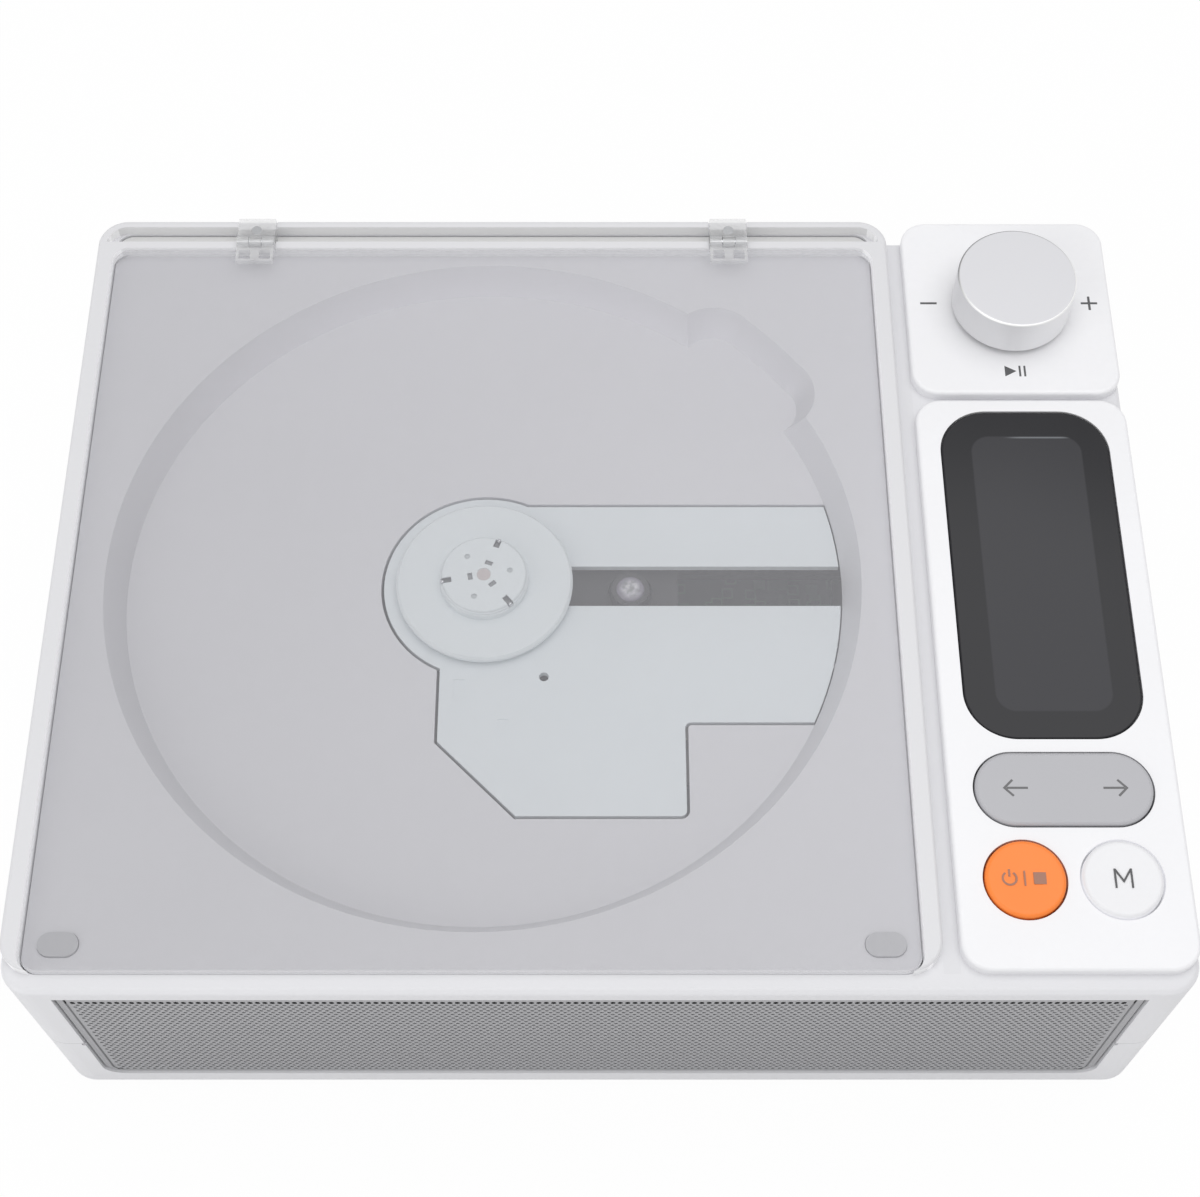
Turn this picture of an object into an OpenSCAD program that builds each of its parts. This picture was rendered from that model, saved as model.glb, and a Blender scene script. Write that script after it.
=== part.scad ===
// Wall mounted disc player with a clear hinged lid, a knob, a screen and front speakers.
// Millimetres. The origin is on the surface it rests on, under the middle of the body.
// X runs to the right of the deck, Y from the grille to the hinges, Z out of the disc.

/* [Housing] */
// Width across the grille
body_w = 180; // [178:1:190]
// Depth from the grille to the hinge side
body_d = 143; // [142:1:155]
// Height of the housing without the feet and the raised plates
body_h = 48.5; // [48:0.5:56]
// Height of the rubber feet below the housing
foot_h = 1.5; // [1:0.1:3]
// Radius of the rubber feet
foot_r = 5; // [4:0.5:7]
// Height of the seam between the two shells, above the housing's underside
seam_h = 22.5; // [21.5:0.5:25]
// Thickness of the side walls
wall = 2.2; // [1.8:0.1:2.6]
// Thickness of the top panel
panel_t = 2; // [1.6:0.1:2.4]
// Thickness of the rear cover's floor
base_t = 2.2; // [1.8:0.1:2.6]
// Corner radius of the body and the raised plates in plan
corner_r = 5; // [4:0.5:6]
// Rounding of the housing's long edges
edge_r = 1; // [0.5:0.1:1.5]
// Height that the deck frame and the plates stand above the panel
plate_rise = 2; // [1.8:0.1:2.6]
// Rounding of the raised plates' top edges
plate_edge_r = 0.6; // [0.3:0.1:0.8]
// Depth of the front ledge
ledge_d = 3; // [2.6:0.1:4]
// Width of the lap joint between the shells
lap_w = 1; // [0.8:0.1:1.2]
// Height of the lap joint
lap_h = 1.5; // [1:0.1:2]

/* [Deck] */
// Width of the deck with its rails
deck_w = 141.4; // [140:0.2:142]
// Width of the groove between the deck and the control block
groove_w = 2.6; // [2:0.1:4]
// Depth of the notch where the groove runs out at the back
notch_d = 4; // [3:0.1:4.6]
// Width of the side rails
rail_w = 2.8; // [2.6:0.1:3.2]
// Width of the rim behind the hinge channel
rim_w = 1.5; // [1.2:0.1:2]
// Width of the hinge channel
channel_w = 3.2; // [3:0.1:4]
// Width of the ridge in front of the channel
ridge_w = 1.4; // [1.2:0.1:1.8]
// Depth of the deck below the rails' top
deck_drop = 2.5; // [2.4:0.1:3]
// Thickness of the deck sheet
tray_t = 1.5; // [1.2:0.1:1.8]
// Width of the seat under the deck sheet's edge
seat_w = 1.8; // [1.4:0.1:2.2]
// Clearance round pieces that drop into an opening
fit = 0.2; // [0.1:0.05:0.3]

/* [Disc well] */
// Distance of the disc's centre behind the body's middle
disc_y = 0.8; // [0:0.1:1.5]
// Radius of the well at the deck
well_r = 62.5; // [61.5:0.5:63]
// Radius of the well at its floor
floor_r = 59.8; // [59.4:0.2:60.4]
// Depth of the well
well_depth = 5.5; // [5:0.5:6.5]
// How far the finger scoop reaches out past the well
scoop_reach = 5.5; // [4:0.5:6.5]
// How far the scoop's wall leans in over the well's depth
scoop_lean = 2.7; // [2:0.1:3.2]
// Radius of the scoop's round ends
scoop_end_r = 8; // [6:0.5:9]
// Angle where the scoop starts
scoop_from = 36; // [30:1:38]
// Angle where the scoop ends
scoop_to = 49; // [46:1:54]

/* [Mechanism cover] */
// Thickness of the cover
cover_t = 1.2; // [1:0.1:1.5]
// Gap between the cover and the well's floor
cover_gap = 0.5; // [0.2:0.05:0.6]
// Radius of the cover's bulge round the turntable
bulge_r = 16.9; // [16.5:0.1:18]
// Distance of the cover's back edge behind the disc's centre
cover_back = 15.4; // [14:0.1:16]
// Distance of the cover's step in front of the disc's centre
cover_step = 25.1; // [24:0.1:26]
// Distance of the cover's front edge in front of the disc's centre
cover_front = 41.4; // [41:0.1:44]
// Distance of the cover's left edge left of the disc's centre
cover_left = 7; // [6:0.1:9]
// Distance of the cover's step edge right of the disc's centre
cover_right = 33.1; // [30:0.1:35]
// Length of the cover's cut corner
cover_cut = 12.9; // [10:0.1:13]
// Rounding of the cover's square corners
cover_round = 1; // [0.8:0.1:1.5]
// Width of the laser slot
slot_w = 7.5; // [7.4:0.1:8]
// Distance of the slot's end from the disc's centre
slot_end = 59.7; // [58.5:0.1:60]

/* [Lid] */
// Thickness of the lid
lid_t = 1.9; // [1.6:0.1:2]
// Clearance between the lid and the rails
lid_gap = 0.25; // [0.2:0.05:0.4]
// Corner radius of the lid
lid_r = 3; // [2:0.5:4]
// Width of the bumper pads
bumper_w = 6.2; // [5:0.2:7]
// Depth of the bumper pads
bumper_d = 3.8; // [3:0.2:4.4]
// Distance of the bumper pads from the sides of the lid opening
bumper_x = 2.4; // [2:0.2:4]
// Distance of the bumper pads from the front of the deck
bumper_y = 2.9; // [2:0.1:4]
// Gap between the pads and the closed lid
bumper_gap = 0.15; // [0.1:0.05:0.3]

/* [Hinges] */
// Distance of each hinge from the deck's middle
hinge_x = 42.3; // [36:0.1:48]
// Width of a hinge
hinge_w = 6.6; // [6:0.2:8]
// Radius of the hinge knuckles
knuckle_r = 1.05; // [0.95:0.05:1.1]
// Radius of the hinge pins
pin_r = 0.45; // [0.35:0.05:0.5]
// Height of the hinge axis above the rails' top
axis_rise = 0.75; // [0.7:0.05:0.9]
// Height of the lid leaf and the bracket above the rails' top
leaf_t = 0.9; // [0.8:0.05:1]
// Length of the lid leaf in front of the hinge axis
leaf_d = 4.2; // [3.6:0.1:5]
// Side of the two square windows in the leaf
leaf_window = 2; // [1.6:0.1:2.2]

/* [Control plates] */
// Distance of the split between the plates behind the body's middle
split_y = 33; // [32:0.2:34]
// Gap between the two plates
split_gap = 1.2; // [0.8:0.1:2]
// Distance of the plates' back edge from the body's back
plate_back = 0.5; // [0.3:0.1:1]

/* [Knob] */
// Radius of the knob
knob_r = 10.25; // [9:0.25:11]
// Height of the knob
knob_h = 7.7; // [7:0.1:9]
// Gap under the knob
knob_gap = 1; // [0.8:0.1:1.2]
// Distance of the knob's centre behind the body's middle
knob_y = 52.3; // [51:0.1:53]
// Radius of the knob's shaft
shaft_r = 3; // [2.5:0.1:3.2]
// Travel of the knob when it is pressed
knob_travel = 0.6; // [0.4:0.1:0.6]

/* [Screen] */
// Width of the dark window
window_w = 28.3; // [26:0.1:29]
// Length of the dark window
window_d = 61; // [58:0.5:62]
// Corner radius of the dark window
window_r = 8; // [5:0.5:9]
// Distance of the window's middle in front of the body's middle
window_y = 0.2; // [0:0.1:1]
// Width of the screen module
screen_w = 24.6; // [22:0.2:25]
// Length of the screen module
screen_d = 57; // [54:0.5:57.5]
// Thickness of the screen module
screen_t = 2.2; // [1.8:0.1:2.6]

/* [Buttons] */
// Radius of the round buttons
button_r = 6.2; // [5:0.1:6.2]
// Distance between the round buttons' centres
button_pitch = 14.8; // [14.8:0.1:16]
// Distance of the round buttons in front of the body's middle
button_y = 54.2; // [54:0.1:56]
// Height of the buttons above the plates
button_rise = 0.6; // [0.5:0.1:1.5]
// Travel of the round buttons
button_travel = 0.5; // [0.3:0.1:0.5]
// Clearance round the buttons and the rocker key
button_gap = 0.3; // [0.25:0.05:0.35]
// Width of the retaining flange under a button
flange_w = 0.6; // [0.4:0.1:0.6]
// Width of the rocker key
rocker_w = 27.7; // [26:0.1:28]
// Depth of the rocker key
rocker_d = 12.1; // [11:0.1:12.2]
// Distance of the rocker key in front of the body's middle
rocker_y = 39.4; // [39:0.1:39.6]

/* [Control board] */
// Depth of the board below the panel
board_drop = 5.2; // [5:0.1:6]
// Thickness of the circuit boards
board_t = 1.6; // [1.2:0.1:2]
// Side of a push switch
switch_w = 6; // [5:0.5:6]
// Radius of a push switch's plunger
switch_r = 1.7; // [1.4:0.1:1.9]
// Distance of the rocker key's switches from its middle
rocker_switch_x = 8; // [7:0.1:9]
// Side of the rotary encoder
encoder_w = 12; // [11:0.2:12.4]

/* [Speakers] */
// Width of the grille opening
grille_w = 164.8; // [160:0.2:166]
// Height of the grille opening
grille_h = 40.7; // [40:0.1:41]
// Height of the grille opening above the housing's underside
grille_lift = 4.9; // [4.6:0.1:5.4]
// Corner radius at the grille's lower corners
grille_r = 3.5; // [2:0.5:4]
// Thickness of the grille's sheet
grille_t = 0.8; // [0.6:0.1:0.9]
// Distance of the grille's crease from its sides
crease_x = 2.3; // [1.6:0.1:3]
// Radius of a speaker's frame
speaker_r = 19; // [17:0.5:19]
// Radius of a speaker's magnet
magnet_r = 11.5; // [10:0.5:11.5]
// Depth of a speaker behind the baffle
speaker_d = 17.5; // [17:0.5:18]
// Distance of each speaker from the body's middle
speaker_x = 50; // [42:1:54]
// Thickness of the speaker baffle
baffle_t = 2.2; // [1.8:0.1:2.4]

/* [Disc drive] */
// Radius of the turntable
turntable_r = 14.75; // [14.25:0.25:15.5]
// Thickness of the turntable
turntable_t = 1.4; // [1.2:0.1:1.5]
// Height of the turntable's top above the well's floor
turntable_rise = 2; // [1.9:0.1:2.4]
// Radius of the hub that holds the disc
hub_r = 7.45; // [7.3:0.05:7.45]
// Height of the hub above the turntable
hub_h = 2.2; // [2:0.1:2.4]
// Thickness of the disc that the hub centres
disc_t = 1.2; // [1.1:0.1:1.3]
// Radius of the spindle shaft
spindle_r = 1; // [0.8:0.1:1.2]
// Radius of the spindle motor
motor_r = 11; // [10:0.5:11.5]
// Height of the spindle motor
motor_h = 9; // [8:0.5:10]
// Depth of the chassis plate's top below the well's floor
chassis_drop = 9; // [8.9:0.1:9.4]
// Thickness of the chassis plate
chassis_t = 1.6; // [1.4:0.1:2]
// Radius of the guide rods
rod_r = 1.5; // [1.3:0.1:1.6]
// Distance from the slot's middle to the back guide rod
rod_back = 13.7; // [13.5:0.1:14]
// Distance from the slot's middle to the front guide rod
rod_front = 13.3; // [13.2:0.1:13.5]
// Distance of the lens from the disc's centre at the first track
lens_start = 24.4; // [24:0.1:25]
// Travel of the pickup
pickup_travel = 33.8; // [32:0.1:33.8]
// Radius of the lens
lens_r = 2.35; // [2:0.05:2.5]
// Teeth of the small gear on the rack
small_teeth = 12; // [12:1:13]
// Module of the small gear and the rack
rack_module = 0.6; // [0.55:0.01:0.6]
// Teeth of the large gear
large_teeth = 40; // [36:1:41]
// Teeth of the motor's pinion
pinion_teeth = 10; // [10:1:12]
// Module of the large gear and the pinion
gear_module = 0.5; // [0.45:0.01:0.5]

/* [Fasteners and sockets] */
// Distance of the shell screws from the body's sides
boss_x = 5.4; // [5.2:0.1:5.8]
// Distance of the front shell screws from the body's front
boss_front = 8.2; // [8.2:0.1:9]
// Distance of the back shell screws from the body's back
boss_back = 7; // [6.5:0.1:8]
// Radius of the shell screws
screw_r = 1.2; // [1:0.1:1.3]
// Distance between the two keyholes
keyhole_pitch = 100; // [90:1:104]
// Distance of the keyholes behind the body's middle
keyhole_y = 38; // [34:1:44]
// Radius of a keyhole's round end
keyhole_r = 4; // [3.5:0.1:4.5]
// Half the width of a keyhole's slot
keyhole_slot_r = 2.1; // [1.8:0.1:2.3]
// Height of the main board above the housing's floor
main_lift = 6.3; // [6:0.1:8]
// Radius of the audio jack's bore
jack_r = 1.8; // [1.75:0.01:1.85]
// Depth of the audio jack's bore
jack_depth = 12; // [11:0.5:12.5]
// Distance of the audio jack right of the body's middle
jack_x = 20; // [14:1:30]
// Distance of the charging socket right of the body's middle
usb_x = 0; // [-10:1:4]

/* [Hidden] */
$fn = 64;

// Clearances that are the same everywhere
run = 0.05;      // radial gap of a shaft that turns or slides
snug = 0.02;     // radial gap of a piece pressed on another
air = 0.3;       // gap between moving pieces that don't touch
over = 1;        // how far a cut runs past the face it opens

// Planes of the body
x_left = -body_w / 2;
x_right = body_w / 2;
y_front = -body_d / 2;
y_back = body_d / 2;
z_base = foot_h;
z_floor = z_base + base_t;
z_seam = z_base + seam_h;
z_panel = z_base + body_h;
z_under = z_panel - panel_t;
z_plate = z_panel + plate_rise;

// Deck
deck_x0 = x_left;
deck_x1 = x_left + deck_w;
deck_cx = (deck_x0 + deck_x1) / 2;
open_x0 = deck_x0 + rail_w;
open_x1 = deck_x1 - rail_w;
open_y0 = y_front + ledge_d;
open_y1 = y_back - rim_w;
ridge_y1 = open_y1 - channel_w;
ridge_y0 = ridge_y1 - ridge_w;
z_deck = z_plate - deck_drop;
z_tray = z_deck - tray_t;
z_well = z_deck - well_depth;
z_tray_under = z_well - tray_t;
seat_t = 1.6;
z_seat = z_tray - seat_t;

// Lid and hinges
z_lid = z_plate - lid_t;
lid_x0 = open_x0 + lid_gap;
lid_x1 = open_x1 - lid_gap;
lid_y1 = ridge_y0 - lid_gap;
hinge_y = (ridge_y0 + ridge_y1) / 2;
z_hinge = z_plate + axis_rise;
middle_w = hinge_w / 3;
hinge_slack = 0.1;
bracket_y0 = hinge_y + knuckle_r + fit;
hinge_screw_r = 0.5;
hinge_head_r = 0.9;
hinge_head_t = 0.4;

// Control block
ctrl_x0 = deck_x1 + groove_w;
ctrl_x1 = x_right;
ctrl_cx = (ctrl_x0 + ctrl_x1) / 2;
z_board = z_under - board_drop;
board_x0 = ctrl_x0 + 2;
board_x1 = x_right - wall - 0.6;
board_y0 = y_front + boss_front + 3.1;
board_y1 = y_back - boss_back - 3.5;
switch_body_h = 3.5;
switch_h = 4.5;
z_switch = z_board + switch_h;
stem_r = 2;
post_r = 1.9;
board_posts = [for (x = [board_x0 + 2.4, board_x1 - 1.6], y = [38, -31]) [x, y]];
rocker_bar_r = 1;
z_rocker_bar = z_under + 0.4 - rocker_bar_r;

// Main board
z_main = z_floor + main_lift;
main_x0 = -28;
main_x1 = 43;
main_y0 = -44;
main_y1 = y_back - wall - 1.2;
main_chips = [[14, 54, 12, 12], [38, 64, 10, 8], [20, 18, 8, 14], [44, 22, 14, 9]];
main_posts = [for (x = [main_x0 + 4, main_x1 - 4], y = [main_y0 + 4, main_y1 - 12]) [x, y]];

// Shell screws: the four corners and one beside the groove
groove_cx = (deck_x1 + ctrl_x0) / 2;
bosses = [[x_left + boss_x, y_front + boss_front], [x_right - boss_x, y_front + boss_front],
    [x_left + boss_x, y_back - boss_back], [x_right - boss_x, y_back - boss_back],
    [groove_cx, y_back - notch_d - wall - 5.3]];
boss_r = 3;
column_r = 3.4;
column_step = 6;

// Speakers
z_grille = z_base + grille_lift;
z_speaker = z_grille + grille_h / 2;
baffle_y = y_front + wall + 0.1;
speaker_y = baffle_y + baffle_t;

// Disc drive
z_turn = z_well + turntable_rise;
z_hub = z_turn + hub_h;
z_chassis = z_well - chassis_drop;
z_chassis_under = z_chassis - chassis_t;
z_rod = z_chassis + 4;
slot_y = disc_y;
back_rod_y = slot_y + rod_back;
front_rod_y = slot_y - rod_front;
lens_x = deck_cx + lens_start;
sled_x0 = lens_x - 11;
sled_x1 = lens_x + 8;
sled_bottom = z_chassis + 1.6;
sled_top = z_chassis + 6.5;
bearing_r = rod_r + 0.9;
optics_x0 = lens_x - 3.5;
optics_w = 9;
rod_x0 = sled_x0 - 4.3;
rod_x1 = sled_x1 + pickup_travel + 3.9;
rod_block = 3.2;
rack_y = front_rod_y - bearing_r - 3.1;
rack_back = front_rod_y - bearing_r - air;
gear_x = sled_x1 + 1;
small_r = small_teeth * rack_module / 2;
large_r = large_teeth * gear_module / 2;
pinion_r = pinion_teeth * gear_module / 2;
gear_y = rack_y - small_r;
mesh_angle = -135;
pinion_x = gear_x + (large_r + pinion_r) * cos(mesh_angle);
pinion_y = gear_y + (large_r + pinion_r) * sin(mesh_angle);
large_t = 1;
small_t = 3.6;
z_gear = z_chassis + air;
axle_r = 1;
tooth_slack = 0.12;
stub = 0.7;      // tooth height above the pitch line, in modules
sled_motor_r = 6;
sled_motor_h = 10;
dampers = [for (x = [-19.7, 46], y = [21.2, -33.5]) [deck_cx + x, disc_y + y]];
grommet_t = 1.2;
grommet_r = 4.2;
waist_r = 3;
damper_boss_r = 3;
damper_screw_r = 1.3;
damper_head_r = 3;
damper_pad = 5;  // how far the chassis reaches past a damper's middle

// A rounded rectangle, from corner to corner
module plan(x0, x1, y0, y1, r) {
    translate([x0 + r, y0]) square([x1 - x0 - 2 * r, y1 - y0]);
    translate([x0, y0 + r]) square([x1 - x0, y1 - y0 - 2 * r]);
    for (x = [x0 + r, x1 - r], y = [y0 + r, y1 - r]) translate([x, y]) circle(r);
}

// A plate with rounded corners
module slab(x0, x1, y0, y1, r, z0, z1) {
    translate([0, 0, z0]) linear_extrude(z1 - z0) plan(x0, x1, y0, y1, r);
}

// A plate with rounded corners and a rounded top edge
module soft_slab(x0, x1, y0, y1, r, z0, z1, e) {
    slab(x0, x1, y0, y1, r, z0, z1 - e);
    slab(x0 + e, x1 - e, y0 + e, y1 - e, r - e, z1 - e, z1);
    for (x = [x0 + r, x1 - r], y = [y0 + r, y1 - r]) translate([x, y, z1 - e])
        rotate_extrude() {
            translate([r - e, 0]) intersection() {
                circle(e);
                square(e);
            }
            square([r - e, e]);
        }
    for (y = [y0 + e, y1 - e]) translate([x0 + r, y, z1 - e]) rotate([0, 90, 0])
        cylinder(r = e, h = x1 - x0 - 2 * r);
    for (x = [x0 + e, x1 - e]) translate([x, y0 + r, z1 - e]) rotate([-90, 0, 0])
        cylinder(r = e, h = y1 - y0 - 2 * r);
}

// A stadium outline of width w and depth d round the origin
module stadium(w, d) {
    translate([-(w - d) / 2, -d / 2]) square([w - d, d]);
    for (x = [-(w - d) / 2, (w - d) / 2]) translate([x, 0]) circle(d / 2);
}

// The space behind the groove, between the deck block's corner and the control block's
module notch_plan(inset = 0) {
    difference() {
        translate([deck_x1 - corner_r, y_back - notch_d - inset])
            square([groove_w + 2 * corner_r, notch_d + inset + over]);
        plan(deck_x0 - over, deck_x1 - inset, y_front, y_back - inset, corner_r - inset);
        plan(ctrl_x0 + inset, ctrl_x1 + over, y_front, y_back - inset, corner_r - inset);
    }
}

// The inside of the housing, in from the outer face by the given amount
module cavity_plan(inset) {
    difference() {
        plan(x_left + inset, x_right - inset, y_front + inset, y_back - inset, corner_r - inset);
        notch_plan(inset);
    }
}

// The grille opening in the front wall, in by the given amount
module grille_cut(inset, y0, y1) {
    w = grille_w / 2 - inset;
    r = grille_r - inset / 2;
    z0 = z_grille + inset;
    z1 = z_grille + grille_h - inset;
    translate([0, y1, 0]) rotate([90, 0, 0]) linear_extrude(y1 - y0) {
        translate([-w, z0 + r]) square([2 * w, z1 - z0 - r]);
        translate([-w + r, z0]) square([2 * (w - r), z1 - z0]);
        for (x = [-w + r, w - r]) translate([x, z0 + r]) circle(r);
    }
}

module housing_top() {
    color("white") difference() {
        union() {
            difference() {
                soft_slab(x_left, x_right, y_front, y_back, corner_r, z_seam, z_panel, edge_r);
                translate([0, 0, z_seam - over]) linear_extrude(body_h + 2 * over) notch_plan();
                translate([0, 0, z_seam - over])
                    linear_extrude(z_under - z_seam + over) cavity_plan(wall);
                translate([0, 0, z_seam - over])
                    linear_extrude(lap_h + 0.1 + over) cavity_plan(wall - lap_w - 0.1);
            }
            deck_seat();
            for (b = bosses) translate([b[0], b[1], z_seam])
                cylinder(r = boss_r, h = (b[0] > deck_x1 - rail_w ? z_under : z_seat) - z_seam + 0.2);
            for (p = board_posts) translate([p[0], p[1], z_board])
                cylinder(r = post_r, h = board_drop + 0.2);
            rocker_bridge();
        }
        slab(open_x0, open_x1, open_y0, open_y1, lid_r, z_tray, z_panel + over);
        grille_cut(0, y_front - over, y_front + wall);
        control_cuts();
        for (b = bosses) translate([b[0], b[1], z_seam - over]) cylinder(r = screw_r + snug, h = 11);
        for (p = board_posts) translate([p[0], p[1], z_board - over]) cylinder(r = 0.9, h = 5.6);
    }
}

// The step that the deck sheet drops onto
module deck_seat() {
    translate([0, 0, z_seat]) linear_extrude(seat_t) difference() {
        intersection() {
            translate([open_x0 - 2.4, open_y0 - 2.4])
                square([open_x1 - open_x0 + 4.8, open_y1 - open_y0 + 4.8]);
            cavity_plan(wall - 0.5);
        }
        plan(open_x0 + seat_w, open_x1 - seat_w, open_y0 + seat_w, open_y1 - seat_w, lid_r);
    }
}

// The round bar under the rocker key that it tips on
module rocker_bridge() {
    translate([ctrl_cx, -rocker_y + rocker_d / 2 + 3, z_rocker_bar]) rotate([90, 0, 0])
        cylinder(r = rocker_bar_r, h = rocker_d + 6);
}

// Openings in the panel under the control plates
module control_cuts() {
    flange_r = button_r + flange_w + button_gap;
    translate([ctrl_cx, knob_y, z_under - over]) cylinder(r = shaft_r + 0.7, h = panel_t + 2 * over);
    slab(ctrl_cx - screen_w / 2 - fit, ctrl_cx + screen_w / 2 + fit,
        -window_y - screen_d / 2 - fit, -window_y + screen_d / 2 + fit, 1.5,
        z_under - over, z_panel + over);
    for (s = [-1, 1]) translate([ctrl_cx + s * button_pitch / 2, -button_y, z_under - over])
        cylinder(r = flange_r, h = panel_t + 2 * over);
    difference() {
        translate([ctrl_cx, -rocker_y, z_under - over]) linear_extrude(panel_t + 2 * over)
            stadium(rocker_w + 2 * (flange_w + button_gap), rocker_d + 2 * (flange_w + button_gap));
        rocker_bridge();
    }
}

module housing_base() {
    floor_cut = z_seam + over - z_floor;
    color("white") difference() {
        union() {
            difference() {
                union() {
                    translate([0, 0, z_base + z_seam]) mirror([0, 0, 1])
                        soft_slab(x_left, x_right, y_front, y_back, corner_r, z_base, z_seam, edge_r);
                    translate([0, 0, z_seam]) linear_extrude(lap_h) difference() {
                        cavity_plan(wall - lap_w);
                        cavity_plan(wall);
                    }
                }
                translate([0, 0, z_base - over]) linear_extrude(seam_h + lap_h + 2 * over) notch_plan();
                translate([0, 0, z_floor]) linear_extrude(floor_cut) cavity_plan(wall);
            }
            for (b = bosses) translate([b[0], b[1], z_floor - 0.2])
                cylinder(r = column_r, h = z_seam - z_floor + 0.2);
            for (p = main_posts) translate([p[0], p[1], z_floor - 0.2])
                cylinder(r = 2.5, h = main_lift + 0.2);
            for (s = [-1, 1]) keyhole_pocket(s * keyhole_pitch / 2);
            battery_cradle();
        }
        grille_cut(0, y_front - over, y_front + wall);
        translate([-grille_w / 2 - 0.5, y_front, z_seam - over])
            cube([grille_w + 1, wall, lap_h + 2 * over]);
        for (b = bosses) translate([b[0], b[1], z_base - over]) {
            cylinder(r = screw_r + 1.3, h = seam_h - column_step + over);
            cylinder(r = screw_r + 0.25, h = seam_h + 2 * over);
        }
        for (p = main_posts) translate([p[0], p[1], z_floor + 0.6]) cylinder(r = 0.9, h = main_lift);
        for (s = [-1, 1]) keyhole(s * keyhole_pitch / 2);
        for (p = feet_at) translate([p[0], p[1], z_base - over]) cylinder(r = foot_r + 0.1, h = over + 0.5);
        socket_cuts();
    }
}

feet_at = [for (x = [-1, 1], y = [-1, 1]) [x * (body_w / 2 - 20), y * (body_d / 2 - 16.5)]];

// A wall screw's head goes in at the round end and slides up the slot
module keyhole(x) {
    translate([x, keyhole_y, z_base - over]) {
        cylinder(r = keyhole_r, h = base_t + 2 * over);
        translate([-keyhole_slot_r, 0, 0]) cube([2 * keyhole_slot_r, keyhole_r + 5, base_t + 2 * over]);
        translate([0, keyhole_r + 5, 0]) cylinder(r = keyhole_slot_r, h = base_t + 2 * over);
    }
}

// The closed box behind a keyhole
module keyhole_pocket(x) {
    w = keyhole_r + 1.2;
    translate([x - w - 1.2, keyhole_y - w - 1.2, z_floor - 0.2]) difference() {
        cube([2 * w + 2.4, 2 * w + 8.4, 5]);
        translate([1.2, 1.2, -over]) cube([2 * w, 2 * w + 6, 5 - 1.2 + over]);
    }
}

cell_r = 9.2;
battery_x = x_left + 34;
battery_y0 = -40;
battery_l = 65;

// Two moulded ribs that hold the battery
module battery_cradle() {
    for (y = [battery_y0 + 8, battery_y0 + battery_l - 10]) difference() {
        translate([battery_x - 2 * cell_r - 2, y, z_floor - 0.2]) cube([4 * cell_r + 4, 2, 6]);
        translate([0, y - over, 0]) battery_body(2 + 2 * over, 0.1);
    }
}

// Two cells side by side in one wrap, along Y
module battery_body(l, grow = 0) {
    translate([battery_x, l, z_floor + 0.1 + cell_r]) rotate([90, 0, 0]) linear_extrude(l) {
        for (s = [-1, 1]) translate([s * cell_r, 0]) circle(cell_r + grow);
        translate([-cell_r, -cell_r - grow]) square([2 * cell_r, 2 * (cell_r + grow)]);
    }
}

module battery_pack() {
    color("royalblue") translate([0, battery_y0, 0]) battery_body(battery_l);
}

usb_w = 8.94;
usb_h = 3.26;
usb_l = 7.3;
usb_y1 = y_back - 0.3;
z_usb = z_main + board_t + usb_h / 2;
jack_y1 = y_back - 0.3;
z_jack = z_main + board_t + 2.8;
jack_nose_r = 2.9;

// Openings for the charging socket and the audio jack in the rear wall
module socket_cuts() {
    translate([usb_x, y_back + over, z_usb]) rotate([90, 0, 0])
        linear_extrude(wall + 2 * over) stadium(usb_w + 0.4, usb_h + 0.4);
    translate([jack_x, y_back + over, z_jack]) rotate([90, 0, 0])
        cylinder(r = jack_nose_r + 0.1, h = wall + 2 * over);
}

module usb_socket() {
    color("silver") translate([usb_x, usb_y1, z_usb]) rotate([90, 0, 0]) {
        difference() {
            linear_extrude(usb_l) stadium(usb_w, usb_h);
            translate([0, 0, -over]) linear_extrude(usb_l - 1 + over) stadium(usb_w - 0.6, usb_h - 0.6);
        }
        translate([-3.35, -0.35, 0.6]) cube([6.7, 0.7, usb_l - 1]);
    }
}

module audio_jack() {
    color("dimgray") difference() {
        union() {
            translate([jack_x, jack_y1, z_jack]) rotate([90, 0, 0]) cylinder(r = jack_nose_r, h = 3);
            translate([jack_x - 3.2, jack_y1 - 13.4, z_main + board_t]) cube([6.4, 11, 5.6]);
        }
        translate([jack_x, jack_y1 + over, z_jack]) rotate([90, 0, 0])
            cylinder(r = jack_r, h = jack_depth + over);
    }
}

module rubber_feet() {
    color("gray") for (p = feet_at) translate([p[0], p[1], 0])
        cylinder(r = foot_r, h = foot_h + 0.5);
}

module base_screws() {
    color("silver") for (b = bosses) translate([b[0], b[1], z_seam - column_step]) {
        translate([0, 0, -1.8]) cylinder(r = screw_r + 1.1, h = 1.8);
        translate([0, 0, -0.2]) cylinder(r = screw_r, h = column_step + 9);
    }
}

module main_board() {
    color("seagreen") {
        difference() {
            slab(main_x0, main_x1, main_y0, main_y1, 1.5, z_main, z_main + board_t);
            for (p = main_posts) translate([p[0], p[1], z_main - over])
                cylinder(r = 1.1, h = board_t + 2 * over);
        }
        for (c = main_chips) translate([main_x0 + c[0], main_y0 + c[1], z_main + board_t - 0.1])
            cube([c[2], c[3], 1.5]);
    }
}

module board_screws() {
    color("silver") {
        for (p = main_posts) translate([p[0], p[1], z_main + board_t]) {
            cylinder(r = 1.9, h = 1.1);
            translate([0, 0, -board_t - 4.5]) cylinder(r = 0.88, h = board_t + 4.7);
        }
        for (p = board_posts) translate([p[0], p[1], z_board - board_t]) {
            translate([0, 0, -1.1]) cylinder(r = 1.8, h = 1.1);
            translate([0, 0, -0.2]) cylinder(r = 0.88, h = board_t + 4.4);
        }
    }
}

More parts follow.
